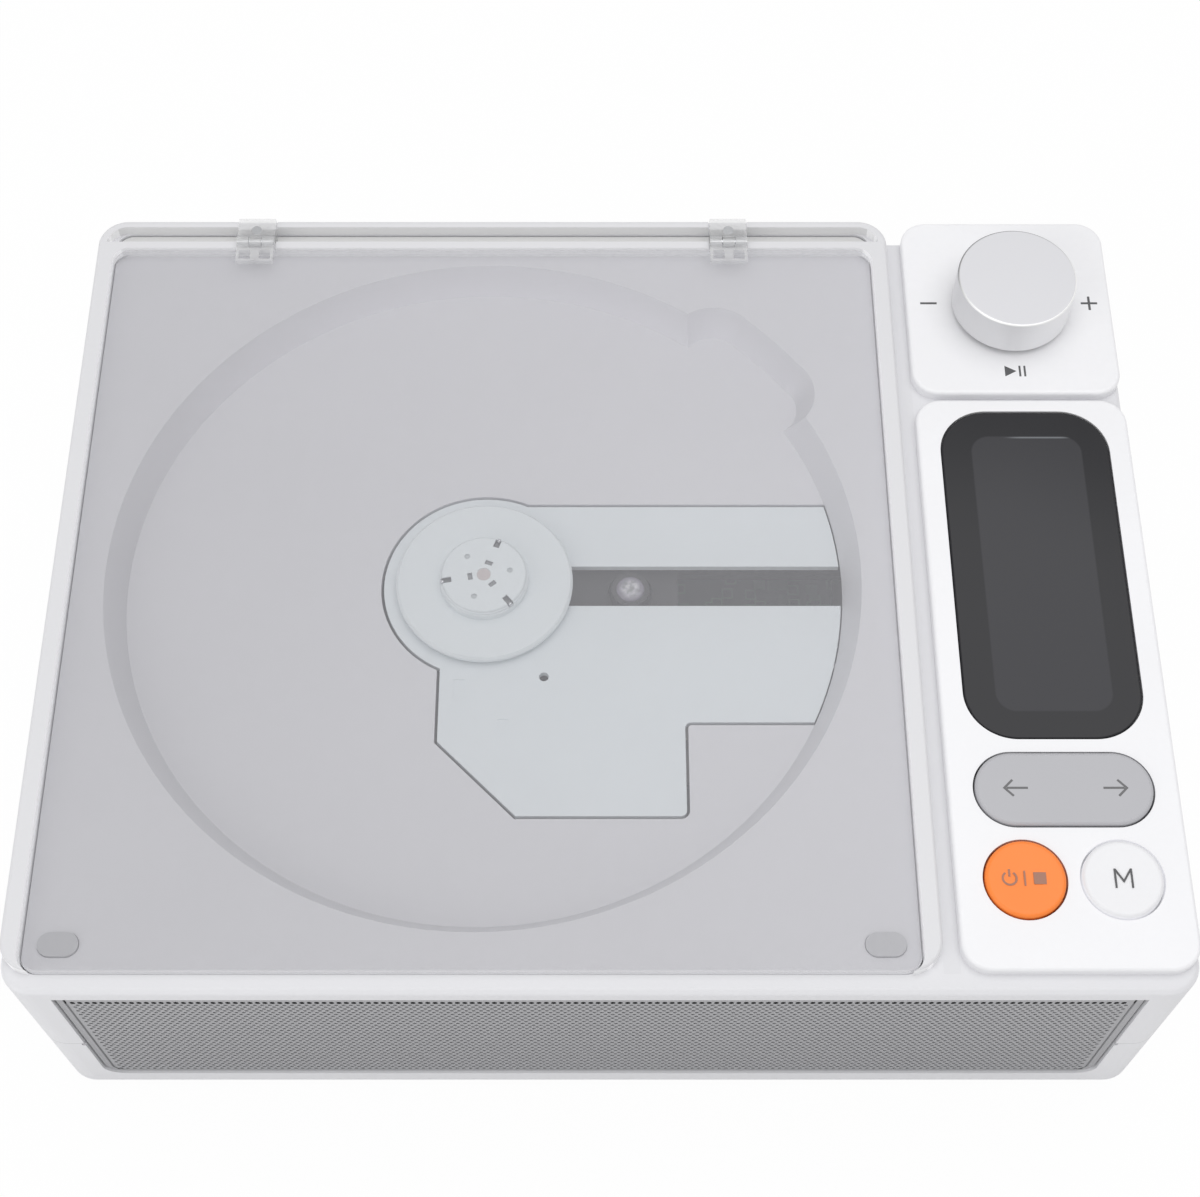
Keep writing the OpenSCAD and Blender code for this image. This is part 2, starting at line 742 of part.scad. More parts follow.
module deck_frame() {
    y0 = open_y0;
    color("white") difference() {
        union() {
            soft_slab(deck_x0, deck_x1, y0, y_back, corner_r, z_panel, z_plate, plate_edge_r);
            translate([open_x0 + fit, ridge_y0, z_deck])
                cube([open_x1 - open_x0 - 2 * fit, ridge_w, z_plate - z_deck - plate_edge_r]);
        }
        slab(open_x0, open_x1, y0 - fit, ridge_y0, lid_r, z_deck - over, z_plate + over);
        translate([0, 0, z_deck - over]) linear_extrude(deck_drop + 2 * over) intersection() {
            plan(deck_x0 + rim_w, deck_x1 - rim_w, y_front, y_back - rim_w, corner_r - rim_w);
            translate([deck_x0, ridge_y1]) square([deck_w, channel_w + over]);
        }
        for (s = [-1, 1]) hinge_notch(deck_cx + s * hinge_x);
    }
}

// Room for a hinge in the ridge and the rim
module hinge_notch(x) {
    w = hinge_w + 4 * hinge_slack;
    translate([x - w / 2, ridge_y0 - over, z_hinge - knuckle_r - air])
        cube([w, ridge_w + 2 * over, over + 2]);
    translate([x - w / 2, open_y1 - over, z_plate - plate_edge_r])
        cube([w, rim_w + 2 * over, over + plate_edge_r]);
}

// The well's shape, grown outwards and downwards for its outer skin
module well_form(grow, z0, z1) {
    flare = (well_r - floor_r) / well_depth;
    low = floor_r + grow + flare * (z0 - z_well);
    high = floor_r + grow + flare * (z1 - z_well);
    lean = scoop_lean / well_depth;
    scoop_low = grow - lean * (z_deck - z0);
    scoop_high = grow - lean * (z_deck - z1);
    middle = well_r + scoop_reach - 0.15;    // just inside its round ends, so the faces cross
    a0 = scoop_from + 1;
    a1 = scoop_to - 1;
    far = well_r + 5 * scoop_reach;
    translate([deck_cx, disc_y, z0]) {
        cylinder(r1 = low, r2 = high, h = z1 - z0, $fn = 128);
        intersection() {
            cylinder(r1 = middle + scoop_low, r2 = middle + scoop_high, h = z1 - z0, $fn = 128);
            linear_extrude(z1 - z0) polygon([[0, 0], far * [cos(a0), sin(a0)], far * [cos(a1), sin(a1)]]);
        }
        for (a = [scoop_from, scoop_to]) rotate([0, 0, a])
            translate([well_r + scoop_reach - scoop_end_r, 0, 0])
                cylinder(r1 = scoop_end_r + scoop_low, r2 = scoop_end_r + scoop_high, h = z1 - z0);
    }
}

module deck_tray() {
    color("lightgray") difference() {
        union() {
            slab(open_x0 + fit, open_x1 - fit, open_y0 + fit, open_y1 - fit, lid_r - fit, z_tray, z_deck);
            well_form(tray_t, z_tray_under, z_deck - 0.2);
            for (d = dampers) translate([d[0], d[1], z_chassis + grommet_t])
                cylinder(r = damper_boss_r, h = z_tray_under - z_chassis - grommet_t + 0.2);
        }
        well_form(0, z_well, z_deck + over);
        translate([0, 0, z_tray_under - over]) linear_extrude(tray_t + over + 0.1)
            cover_plan(cover_gap);
        translate([deck_cx + floor_r - 3, slot_y - slot_w / 2, z_tray_under - over])
            cube([3 + holder_r + 1, slot_w, tray_t + over]);
        for (d = dampers) translate([d[0], d[1], z_chassis])
            cylinder(r = damper_screw_r + snug, h = z_tray_under - z_chassis - 0.4);
        for (s = [-1, 1]) translate([deck_cx + s * hinge_x, hinge_screw_y, z_tray - over])
            cylinder(r = hinge_screw_r + snug, h = tray_t + 2 * over, $fn = 24);
        for (x = bumper_at) translate([x, bumper_cy, z_deck - 0.4]) linear_extrude(over)
            stadium(bumper_w + 0.2, bumper_d + 0.2);
    }
}

hinge_screw_y = (bracket_y0 + open_y1) / 2;
bumper_at = [open_x0 + bumper_x + bumper_w / 2, open_x1 - bumper_x - bumper_w / 2];
bumper_cy = open_y0 + bumper_y + bumper_d / 2;

// Outline of the mechanism cover, grown for the hole that it sits in
module cover_plan(grow = 0) {
    translate([deck_cx, disc_y]) intersection() {
        union() {
            circle(bulge_r + grow);
            translate([0, -cover_step - grow]) square([floor_r + over, cover_step + cover_back + 2 * grow]);
            cover_foot(grow);
            cover_fillet(grow);
        }
        circle(floor_r - 0.2 + grow, $fn = 128);
    }
}

// The lower part of the cover, over the motor and the gears
module cover_foot(grow) {
    mitre = grow * (sqrt(2) - 1);
    r = cover_round + grow;
    x1 = cover_right + grow;
    y0 = -cover_front - grow;
    polygon([[-cover_left - grow, 0], [-cover_left - grow, cover_cut - cover_front - mitre],
        [cover_cut - cover_left - mitre, y0], [x1 - r, y0], [x1, y0 + r], [x1, 0]]);
    translate([x1 - r, y0 + r]) circle(r);
}

// The round inner corner where the cover steps back
module cover_fillet(grow) {
    r = cover_round - grow;
    x0 = cover_right + grow;
    y1 = -cover_step - grow;
    translate([x0, y1 - r]) difference() {
        translate([-0.1, 0]) square([r + 0.1, r + 0.1]);
        translate([r, 0]) circle(r);
    }
}

module mechanism_cover() {
    z0 = z_well - cover_t;
    color("gainsboro") difference() {
        union() {
            translate([0, 0, z0]) linear_extrude(cover_t) cover_plan();
            for (p = cover_posts) translate([p[0], p[1], z_chassis])
                cylinder(r = 1.5, h = z0 - z_chassis + 0.2);
        }
        translate([deck_cx, disc_y, z0 - over]) cylinder(r = slot_w / 2 + 2.8, h = cover_t + 2 * over);
        translate([deck_cx, slot_y - slot_w / 2, z0 - over])
            cube([slot_end, slot_w, cover_t + 2 * over]);
        translate([deck_cx + 10.1, disc_y - 16.9, z0 - over]) cylinder(r = 0.8, h = cover_t + 2 * over);
        for (p = [[-3.8, -19], [3.6, -26.1]])
            translate([deck_cx + p[0] - 0.9, disc_y + p[1] - 1.6, z_well - 0.15])
            cube([1.8, 3.2, over]);
    }
}

cover_posts = [[deck_cx - 8.7, disc_y + 8.2], [deck_cx - 0.7, disc_y - 28.8],
    [deck_cx + slot_end - 10.4, disc_y - cover_step + 2.5]];

module lid_bumpers() {
    color("darkgray") for (x = bumper_at) translate([x, bumper_cy, z_deck - 0.4])
        linear_extrude(z_lid - bumper_gap - z_deck + 0.4) stadium(bumper_w, bumper_d);
}

module lid() {
    color([0.85, 0.88, 0.9, 0.4])
        soft_slab(lid_x0, lid_x1, open_y0, lid_y1, lid_r, z_lid, z_plate, plate_edge_r);
}

// A knuckle along X from x0, with the given bore
module knuckle(x0, w, bore) {
    translate([x0, hinge_y, z_hinge]) rotate([0, 90, 0]) difference() {
        cylinder(r = knuckle_r, h = w, $fn = 32);
        translate([0, 0, -over]) cylinder(r = bore, h = w + 2 * over, $fn = 32);
    }
}

// The fixed half of a hinge: a block in the channel, a cap over the rim and the middle knuckle
module hinge_bracket(x) {
    w = middle_w - hinge_slack;
    z1 = z_plate + leaf_t;
    color([0.85, 0.88, 0.9, 0.5]) difference() {
        union() {
            knuckle(x - w / 2, w, 0.1);
            translate([x - w / 2, hinge_y, z_plate + 0.1])
                cube([w, bracket_y0 - hinge_y + 0.2, leaf_t - 0.1]);
            translate([x - hinge_w / 2, bracket_y0, z_deck])
                cube([hinge_w, open_y1 - bracket_y0 - 0.1, z1 - z_deck]);
            translate([x - hinge_w / 2, bracket_y0, z_plate - plate_edge_r + 0.1])
                cube([hinge_w, y_back - 0.3 - bracket_y0, z1 - z_plate + plate_edge_r - 0.1]);
        }
        translate([x - hinge_w, hinge_y, z_hinge]) rotate([0, 90, 0])
            cylinder(r = pin_r + run, h = 2 * hinge_w, $fn = 32);
        translate([x, hinge_screw_y, z_tray]) cylinder(r = hinge_screw_r + snug, h = 10, $fn = 24);
        translate([x, hinge_screw_y, z1 - hinge_head_t])
            cylinder(r = hinge_head_r + snug, h = over, $fn = 24);
    }
}

// The moving half of a hinge: a plate with two windows on the lid and the outer knuckles
module hinge_leaf(x) {
    w = middle_w - hinge_slack;
    z1 = z_plate + leaf_t;
    color([0.85, 0.88, 0.9, 0.5]) difference() {
        union() {
            for (s = [-1, 1]) {
                x0 = s < 0 ? x - hinge_w / 2 : x + hinge_w / 2 - w;
                knuckle(x0, w, 0.1);
                translate([x0, hinge_y - leaf_d, z_plate]) cube([w, leaf_d - knuckle_r / 2, leaf_t]);
            }
            translate([x - hinge_w / 2, hinge_y - leaf_d, z_plate])
                cube([hinge_w, leaf_d - knuckle_r - air, leaf_t]);
        }
        translate([x - hinge_w, hinge_y, z_hinge]) rotate([0, 90, 0])
            cylinder(r = pin_r + snug, h = 2 * hinge_w, $fn = 32);
        for (s = [-1, 1]) translate([x + s * (hinge_w / 2 - 0.5 - leaf_window / 2) - leaf_window / 2,
            hinge_y - leaf_d + 0.4, z_plate - over]) cube([leaf_window, leaf_window, leaf_t + 2 * over]);
    }
}

module hinge_bracket_left() {
    hinge_bracket(deck_cx - hinge_x);
}

module hinge_bracket_right() {
    hinge_bracket(deck_cx + hinge_x);
}

module hinge_leaf_left() {
    hinge_leaf(deck_cx - hinge_x);
}

module hinge_leaf_right() {
    hinge_leaf(deck_cx + hinge_x);
}

module hinge_pins() {
    color("silver") for (s = [-1, 1]) translate([deck_cx + s * hinge_x - hinge_w / 2, hinge_y, z_hinge])
        rotate([0, 90, 0]) cylinder(r = pin_r, h = hinge_w, $fn = 32);
}

module hinge_screws() {
    z1 = z_plate + leaf_t;
    color("silver") for (s = [-1, 1]) translate([deck_cx + s * hinge_x, hinge_screw_y, 0]) {
        translate([0, 0, z1 - hinge_head_t]) cylinder(r = hinge_head_r, h = hinge_head_t - 0.05, $fn = 24);
        translate([0, 0, z_tray + 0.2])
            cylinder(r = hinge_screw_r, h = z1 - hinge_head_t - z_tray, $fn = 24);
    }
}

module knob_plate() {
    color("white") difference() {
        soft_slab(ctrl_x0, ctrl_x1, split_y + split_gap, y_back - plate_back, corner_r - 0.5,
            z_panel, z_plate, plate_edge_r);
        translate([ctrl_cx, knob_y, z_panel - over]) cylinder(r = shaft_r + 1, h = plate_rise + 2 * over);
    }
}

module display_plate() {
    g = button_gap;
    color("white") difference() {
        soft_slab(ctrl_x0, ctrl_x1, open_y0, split_y, corner_r - 0.5, z_panel, z_plate, plate_edge_r);
        slab(ctrl_cx - window_w / 2 - fit, ctrl_cx + window_w / 2 + fit, -window_y - window_d / 2 - fit,
            -window_y + window_d / 2 + fit, window_r + fit, z_panel - over, z_plate + over);
        translate([ctrl_cx, -rocker_y, z_panel - over]) linear_extrude(plate_rise + 2 * over)
            stadium(rocker_w + 2 * g, rocker_d + 2 * g);
        for (s = [-1, 1]) translate([ctrl_cx + s * button_pitch / 2, -button_y, z_panel - over])
            cylinder(r = button_r + g, h = plate_rise + 2 * over);
    }
}

module display_window() {
    color([0.15, 0.15, 0.16]) soft_slab(ctrl_cx - window_w / 2, ctrl_cx + window_w / 2,
        -window_y - window_d / 2, -window_y + window_d / 2, window_r, z_panel, z_plate, 0.3);
}

module display_panel() {
    color([0.25, 0.25, 0.27]) slab(ctrl_cx - screen_w / 2, ctrl_cx + screen_w / 2,
        -window_y - screen_d / 2, -window_y + screen_d / 2, 1.3, z_panel - 0.1 - screen_t, z_panel - 0.1);
}

module volume_knob() {
    z0 = z_plate + knob_gap;
    skin = 1.5;
    e = 0.4;
    color("gainsboro") translate([ctrl_cx, knob_y, z0]) difference() {
        rotate_extrude($fn = 128) polygon(concat([[0, 0], [knob_r - e, 0], [knob_r, e]],
            [for (a = [0:15:90]) [knob_r - e + e * cos(a), knob_h - e + e * sin(a)]], [[0, knob_h]]));
        difference() {
            translate([0, 0, -over]) cylinder(r = knob_r - skin, h = knob_h - 2.2 + over);
            translate([0, 0, 0.6]) cylinder(r = shaft_r + 1.6, h = knob_h);
        }
        translate([0, 0, -over]) cylinder(r = shaft_r + snug, h = knob_h - 1.4 + over);
    }
}

encoder_h = board_drop - 0.2;
z_encoder_floor = z_board + 0.4;
plunger_t = 1;
z_plunger = z_encoder_floor + knob_travel + 0.1;
z_shaft = z_plunger + plunger_t + 0.05;

module encoder_shaft() {
    top = z_plate + knob_gap + knob_h - 1.6;
    color("silver") translate([ctrl_cx, knob_y, 0]) difference() {
        translate([0, 0, z_shaft]) cylinder(r = shaft_r, h = top - z_shaft);
        translate([shaft_r - 0.8, -shaft_r, z_plate + knob_gap + 1]) cube([over, 2 * shaft_r, top]);
    }
}

module encoder_plunger() {
    color("black") translate([ctrl_cx, knob_y, z_plunger]) cylinder(r = shaft_r - 0.4, h = plunger_t);
}

module encoder_body() {
    color("dimgray") translate([ctrl_cx, knob_y, 0]) difference() {
        union() {
            translate([-encoder_w / 2, -encoder_w / 2, z_board]) cube([encoder_w, encoder_w, encoder_h]);
            translate([0, 0, z_board + encoder_h - 0.2])
                cylinder(r = shaft_r + 0.5, h = z_panel + 0.6 - z_board - encoder_h);
        }
        translate([0, 0, z_encoder_floor]) cylinder(r = shaft_r + run, h = 20);
    }
}

// A round key with a retaining flange and a stem over its switch
module round_button(x) {
    top = z_plate + button_rise;
    e = 0.7;
    flange_z = z_panel - 1.1;
    color("white") translate([x, -button_y, 0]) {
        rotate_extrude() polygon(concat([[0, flange_z], [button_r + flange_w, flange_z],
            [button_r + flange_w, z_panel - 0.3], [button_r, z_panel - 0.3]],
            [for (a = [0:15:90]) [button_r - e + e * cos(a), top - e + e * sin(a)]], [[0, top - 0.15]]));
        translate([0, 0, z_switch + button_travel + 0.1])
            cylinder(r = stem_r, h = flange_z + 0.2 - z_switch - button_travel - 0.1);
    }
}

module power_button() {
    color("darkorange") round_button(ctrl_cx - button_pitch / 2);
}

module mode_button() {
    round_button(ctrl_cx + button_pitch / 2);
}

module track_rocker() {
    z0 = z_under + 0.7;
    flange_z = z0 + 0.6;
    top = z_plate + button_rise;
    e = 0.6;
    color("silver") translate([ctrl_cx, -rocker_y, 0]) {
        translate([0, 0, z0]) linear_extrude(flange_z - z0)
            stadium(rocker_w + 2 * flange_w, rocker_d + 2 * flange_w);
        translate([0, 0, flange_z]) linear_extrude(top - e - flange_z) stadium(rocker_w, rocker_d);
        soft_slab(-rocker_w / 2, rocker_w / 2, -rocker_d / 2, rocker_d / 2, rocker_d / 2 - 0.01,
            top - 2 * e, top, e);
        for (s = [-1, 1]) translate([s * rocker_switch_x, 0, z_switch + 0.45])
            cylinder(r = stem_r, h = z0 + 0.2 - z_switch - 0.45);
    }
}

module button_switches() {
    at = [for (s = [-1, 1]) [ctrl_cx + s * button_pitch / 2, -button_y],
        for (s = [-1, 1]) [ctrl_cx + s * rocker_switch_x, -rocker_y]];
    color("black") for (p = at) translate([p[0], p[1], z_board]) {
        translate([-switch_w / 2, -switch_w / 2, 0]) cube([switch_w, switch_w, switch_body_h]);
        translate([0, 0, switch_body_h - 0.2]) cylinder(r = switch_r, h = switch_h - switch_body_h + 0.2);
    }
}

module control_board() {
    color("seagreen") difference() {
        slab(board_x0, board_x1, board_y0, board_y1, 1.5, z_board - board_t, z_board);
        for (p = board_posts) translate([p[0], p[1], z_board - board_t - over])
            cylinder(r = 1.1, h = board_t + 2 * over);
    }
}

module front_grille() {
    y0 = y_front + 0.4;
    y1 = y_front + wall;
    color("darkgray") difference() {
        grille_cut(0.15, y0, y1);
        grille_cut(0.15 + grille_t, y0 + grille_t, y1 + over);
        difference() {
            grille_cut(crease_x, y0 - over, y0 + 0.3);
            grille_cut(crease_x + 0.3, y0 - over, y0 + 0.3);
        }
    }
}

module speaker_baffle() {
    z0 = z_floor + 0.1;
    z1 = z_seat - 0.2;
    x1 = x_right - corner_r;
    color("black") difference() {
        translate([-x1, baffle_y, z0]) cube([2 * x1, baffle_t, z1 - z0]);
        for (s = [-1, 1]) translate([s * speaker_x, baffle_y - over, z_speaker]) rotate([-90, 0, 0])
            cylinder(r = speaker_r - 2.4, h = baffle_t + 2 * over);
    }
}

// A profile of radius and depth turned round a speaker's axis, which runs into the body
module speaker_turn(x) {
    translate([x, speaker_y, z_speaker]) rotate([-90, 0, 0]) rotate_extrude() children();
}

magnet_d = 5.5;
yoke_d = speaker_d - magnet_d;

module speaker_basket(x) {
    color("dimgray") speaker_turn(x) difference() {
        polygon([[magnet_r - 3.5, yoke_d - 1.4], [magnet_r - 0.2, yoke_d - 1.4], [speaker_r - 2.6, 1.4],
            [speaker_r - 2.6, 0], [speaker_r, 0], [speaker_r, 1.4], [speaker_r - 1.6, 1.4],
            [magnet_r + 0.9, yoke_d], [magnet_r - 3.5, yoke_d]]);
        square(0.01);
    }
}

module speaker_cone(x) {
    rim = speaker_r - 3;
    color("black") speaker_turn(x)
        polygon([[0, 3.6], [2.5, 3], [5, 4.6], [rim - 2.6, 0.2], [rim - 1.3, -0.7], [rim, 0.2], [rim, 0.8],
            [rim - 1.3, 0], [rim - 2.4, 0.9], [5, 5.4], [5, 8], [4.4, 8], [4.4, 5], [2.4, 3.8], [0, 4.3]]);
}

module speaker_magnet(x) {
    color("silver") speaker_turn(x)
        polygon([[0, yoke_d - 4], [3.8, yoke_d - 4], [3.8, yoke_d + 1], [5.6, yoke_d + 1],
            [5.6, yoke_d], [magnet_r, yoke_d], [magnet_r, speaker_d], [0, speaker_d]]);
}

module speaker_left_basket() {
    speaker_basket(-speaker_x);
}

module speaker_left_cone() {
    speaker_cone(-speaker_x);
}

module speaker_left_magnet() {
    speaker_magnet(-speaker_x);
}

module speaker_right_basket() {
    speaker_basket(speaker_x);
}

module speaker_right_cone() {
    speaker_cone(speaker_x);
}

module speaker_right_magnet() {
    speaker_magnet(speaker_x);
}

z_grip = z_turn + disc_t;
ball_r = (hub_h - disc_t) / 2 - 0.1;
ball_at = hub_r - ball_r - 0.07;
claw_at = [70, 190, 310];
claw_length = 2;
hub_chamfer = 0.4;
hub_lead = 0.2;
collar_r = 4;
collar_h = 3;

module turntable() {
    e = 0.4;
    z0 = z_turn - turntable_t;
    shoulder = hub_r - hub_lead;
    color("white") translate([deck_cx, disc_y, 0]) difference() {
        rotate_extrude($fn = 96) polygon([[0, z0 - collar_h], [collar_r, z0 - collar_h], [collar_r, z0],
            [turntable_r - e, z0], [turntable_r, z0 + e], [turntable_r, z_turn - e],
            [turntable_r - e, z_turn], [hub_r, z_turn], [hub_r, z_grip],
            [shoulder, z_grip + hub_lead], [shoulder, z_hub - hub_chamfer],
            [shoulder - hub_chamfer, z_hub], [0, z_hub]]);
        translate([0, 0, z0 - collar_h - over])
            cylinder(r = spindle_r + snug, h = z_turn - 0.1 - z0 + collar_h + over);
        translate([0, 0, z_hub - 0.15]) cylinder(r = spindle_r + 0.2, h = over);
        for (a = claw_at) rotate([0, 0, a]) {
            translate([hub_r - claw_length, -ball_r - 0.12, z_grip + 0.05])
                cube([2 * claw_length, 2 * ball_r + 0.24, hub_h]);
            translate([1.9, -0.65, z_hub - 0.4]) cube([0.8, 1.3, over]);
            rotate([0, 0, 60]) translate([4.4, 0, z_hub - 0.25]) cylinder(r = 0.5, h = over, $fn = 24);
        }
    }
}

module hub_balls() {
    color("silver") for (a = claw_at) rotate_about_hub(a)
        translate([ball_at, 0, z_grip + ball_r + 0.1]) sphere(r = ball_r, $fn = 32);
}

module rotate_about_hub(a) {
    translate([deck_cx, disc_y, 0]) rotate([0, 0, a]) children();
}

module spindle_shaft() {
    z0 = z_chassis_under - motor_h + 1;
    color("silver") translate([deck_cx, disc_y, z0]) cylinder(r = spindle_r, h = z_turn - 0.15 - z0);
}

module spindle_motor() {
    z0 = z_chassis_under - motor_h;
    color("silver") translate([deck_cx, disc_y, 0]) difference() {
        rotate_extrude() polygon([[0, z0], [motor_r - 0.8, z0], [motor_r, z0 + 0.8],
            [motor_r, z_chassis_under], [3, z_chassis_under], [3, z_chassis - 0.1], [0, z_chassis - 0.1]]);
        translate([0, 0, z0 + 0.6]) cylinder(r = spindle_r + run, h = motor_h + chassis_t + over);
    }
}

module mechanism_chassis() {
    color("gray") difference() {
        union() {
            slab(dampers[0][0] - damper_pad, rod_x1 + 0.4, dampers[1][1] - damper_pad,
                dampers[0][1] + damper_pad, damper_pad, z_chassis_under, z_chassis);
            for (x = [rod_x0, rod_x1 - rod_block], y = [back_rod_y, front_rod_y])
                translate([x, y - bearing_r, z_chassis - 0.2])
                    cube([rod_block, 2 * bearing_r, z_rod + bearing_r - z_chassis + 0.2]);
        }
        translate([rod_x0 - over, 0, z_rod]) rotate([0, 90, 0]) {
            translate([0, back_rod_y, 0]) cylinder(r = rod_r + snug, h = rod_x1 - rod_x0 + 2 * over);
            translate([0, front_rod_y, 0]) cylinder(r = rod_r + snug, h = rod_x1 - rod_x0 + 2 * over);
        }
        translate([deck_cx, disc_y, z_chassis_under - over]) cylinder(r = 3.1, h = chassis_t + 2 * over);
        for (d = dampers) translate([d[0], d[1], z_chassis_under - over])
            cylinder(r = waist_r + 0.1, h = chassis_t + 2 * over);
        translate([pinion_x, pinion_y, z_chassis_under - over]) cylinder(r = 2.1, h = chassis_t + 2 * over);
        translate([gear_x, gear_y, z_chassis_under - over])
            cylinder(r = axle_r + snug, h = chassis_t + 2 * over);
        slab(optics_x0 - 0.5, optics_x0 + optics_w + pickup_travel + 0.5, slot_y - 7, slot_y + 7, 3,
            z_chassis_under - over, z_chassis + over);
    }
}

module damper_grommets() {
    color("dimgray") for (d = dampers) translate([d[0], d[1], 0]) rotate_extrude()
        polygon([[damper_screw_r + 0.3, z_chassis_under - grommet_t],
            [grommet_r, z_chassis_under - grommet_t], [grommet_r, z_chassis_under], [waist_r, z_chassis_under], [waist_r, z_chassis],
            [grommet_r, z_chassis], [grommet_r, z_chassis + grommet_t],
            [damper_screw_r + 0.3, z_chassis + grommet_t]]);
}

module chassis_screws() {
    z0 = z_chassis_under - grommet_t;
    color("silver") for (d = dampers) translate([d[0], d[1], z0]) {
        translate([0, 0, -1]) cylinder(r = damper_head_r, h = 1);
        translate([0, 0, -0.2]) cylinder(r = damper_screw_r, h = z_tray_under - z0 - 0.8);
    }
}

module guide_rod(y) {
    color("silver") translate([rod_x0, y, z_rod]) rotate([0, 90, 0])
        cylinder(r = rod_r, h = rod_x1 - rod_x0);
}

module guide_rod_back() {
    guide_rod(back_rod_y);
}

module guide_rod_front() {
    guide_rod(front_rod_y);
}

// Involute angle in degrees at pressure angle a
function involute(a) = tan(a) * 180 / PI - a;

// Half the angle that a tooth spans at radius r
function half_tooth(teeth, module_size, r) = let (rp = teeth * module_size / 2, rb = rp * cos(20),
    a = acos(min(1, rb / max(r, rb))))
    90 / teeth - tooth_slack / 2 / rp * 180 / PI + involute(20) - involute(a);

// Outline of a gear with a tooth centred on the X axis
module gear_plan(teeth, module_size) {
    rp = teeth * module_size / 2;
    radii = [for (t = [-1.05, -0.5, -0.25, 0, 0.25, 0.5, stub]) rp + t * module_size];
    n = len(radii);
    polygon([for (i = [0:teeth - 1]) each concat(
        [for (k = [0:n - 1]) let (a = i * 360 / teeth - half_tooth(teeth, module_size, radii[k]))
            radii[k] * [cos(a), sin(a)]],
        [for (k = [n - 1:-1:0]) let (a = i * 360 / teeth + half_tooth(teeth, module_size, radii[k]))
            radii[k] * [cos(a), sin(a)]])]);
}

module drive_gear() {
    color("ivory") translate([gear_x, gear_y, z_gear]) difference() {
        union() {
            rotate([0, 0, mesh_angle]) linear_extrude(large_t) gear_plan(large_teeth, gear_module);
            rotate([0, 0, 90]) linear_extrude(large_t + small_t) gear_plan(small_teeth, rack_module);
        }
        translate([0, 0, -over]) cylinder(r = axle_r + run, h = large_t + small_t + 2 * over);
    }
}

module gear_axle() {
    z1 = z_gear + large_t + small_t + air;
    color("silver") translate([gear_x, gear_y, 0]) {
        translate([0, 0, z_chassis_under]) cylinder(r = axle_r, h = z1 - z_chassis_under);
        translate([0, 0, z1 - 0.1]) cylinder(r = axle_r + 0.6, h = 0.6);
    }
}

module motor_pinion() {
    color("ivory") translate([pinion_x, pinion_y, 0]) {
        translate([0, 0, z_gear]) rotate([0, 0, mesh_angle + 180 + 180 / pinion_teeth])
            linear_extrude(large_t + 0.6) gear_plan(pinion_teeth, gear_module);
        translate([0, 0, z_chassis_under - 2]) cylinder(r = 0.75, h = z_gear + 0.2 - z_chassis_under + 2);
    }
}

module sled_motor() {
    z0 = z_chassis_under - sled_motor_h;
    color("silver") translate([pinion_x, pinion_y, 0]) difference() {
        rotate_extrude() polygon([[0, z0], [sled_motor_r - 0.8, z0], [sled_motor_r, z0 + 0.8],
            [sled_motor_r, z_chassis_under], [2, z_chassis_under], [2, z_chassis - 0.1],
            [0, z_chassis - 0.1]]);
        translate([0, 0, z_chassis_under - 2.5]) cylinder(r = 0.75 + run, h = 6);
    }
}

holder_r = 3.2;
holder_h = 2.6;
z_holder = sled_top - 1.2;

// The rack's teeth point to the front, with a gap over the small gear
module rack_plan() {
    pitch = PI * rack_module;
    slope = tan(20);
    count = ceil((pickup_travel + 2 * small_r) / pitch / 2) * 2;
    half = pitch / 4 - tooth_slack / 2;
    shift = gear_x - (count - 3) * pitch;
    low = -1.05 * rack_module;
    high = stub * rack_module;
    for (i = [0:count - 1]) translate([shift + (i + 0.5) * pitch, rack_y])
        polygon([[-half + slope * low, -low], [-half + slope * high, -high],
            [half - slope * high, -high], [half - slope * low, -low]]);
    translate([shift, rack_y - low - 0.05]) square([count * pitch, rack_back - rack_y + low + 0.05]);
}

module pickup_sled() {
    z0 = sled_bottom;
    arm_x = lens_x - 4;
    bearing_run = sled_x1 - sled_x0 + 2 * over;
    color("dimgray") difference() {
        union() {
            slab(sled_x0, sled_x1, slot_y - 10, slot_y + 10.5, 1.5, z0 + 0.4, sled_top);
            for (x = [sled_x0, sled_x1 - 3.4]) translate([x, slot_y + 10, z_rod - bearing_r])
                cube([3.4, rod_back - 10 + bearing_r, 2 * bearing_r]);
            translate([arm_x, rack_back - 0.5, z_rod - bearing_r])
                cube([8, slot_y - 9.8 - rack_back + 0.5, 2 * bearing_r]);
            translate([0, 0, z_rod - 1.8]) linear_extrude(2.8) rack_plan();
            translate([optics_x0, slot_y - 5, z0 - 4]) cube([optics_w, 10, 5]);
        }
        translate([sled_x0 - over, 0, z_rod]) rotate([0, 90, 0]) {
            translate([0, back_rod_y, 0]) cylinder(r = rod_r + run, h = bearing_run);
            translate([0, front_rod_y, 0]) cylinder(r = rod_r + run, h = bearing_run);
        }
        translate([lens_x, slot_y, z_holder - 0.7]) cylinder(r = holder_r + 0.6, h = 10);
    }
}

module lens_holder() {
    color("black") translate([lens_x, slot_y, z_holder]) difference() {
        cylinder(r = holder_r, h = holder_h);
        translate([0, 0, holder_h - 0.6]) cylinder(r = lens_r + snug, h = over);
    }
}

module pickup_lens() {
    color("lightblue") translate([lens_x, slot_y, z_holder + holder_h - 0.6]) rotate_extrude()
        polygon(concat([[0, 0], [lens_r, 0]],
            [for (a = [0:15:90]) [lens_r * cos(a), 0.6 + 0.6 * sin(a)]]));
}

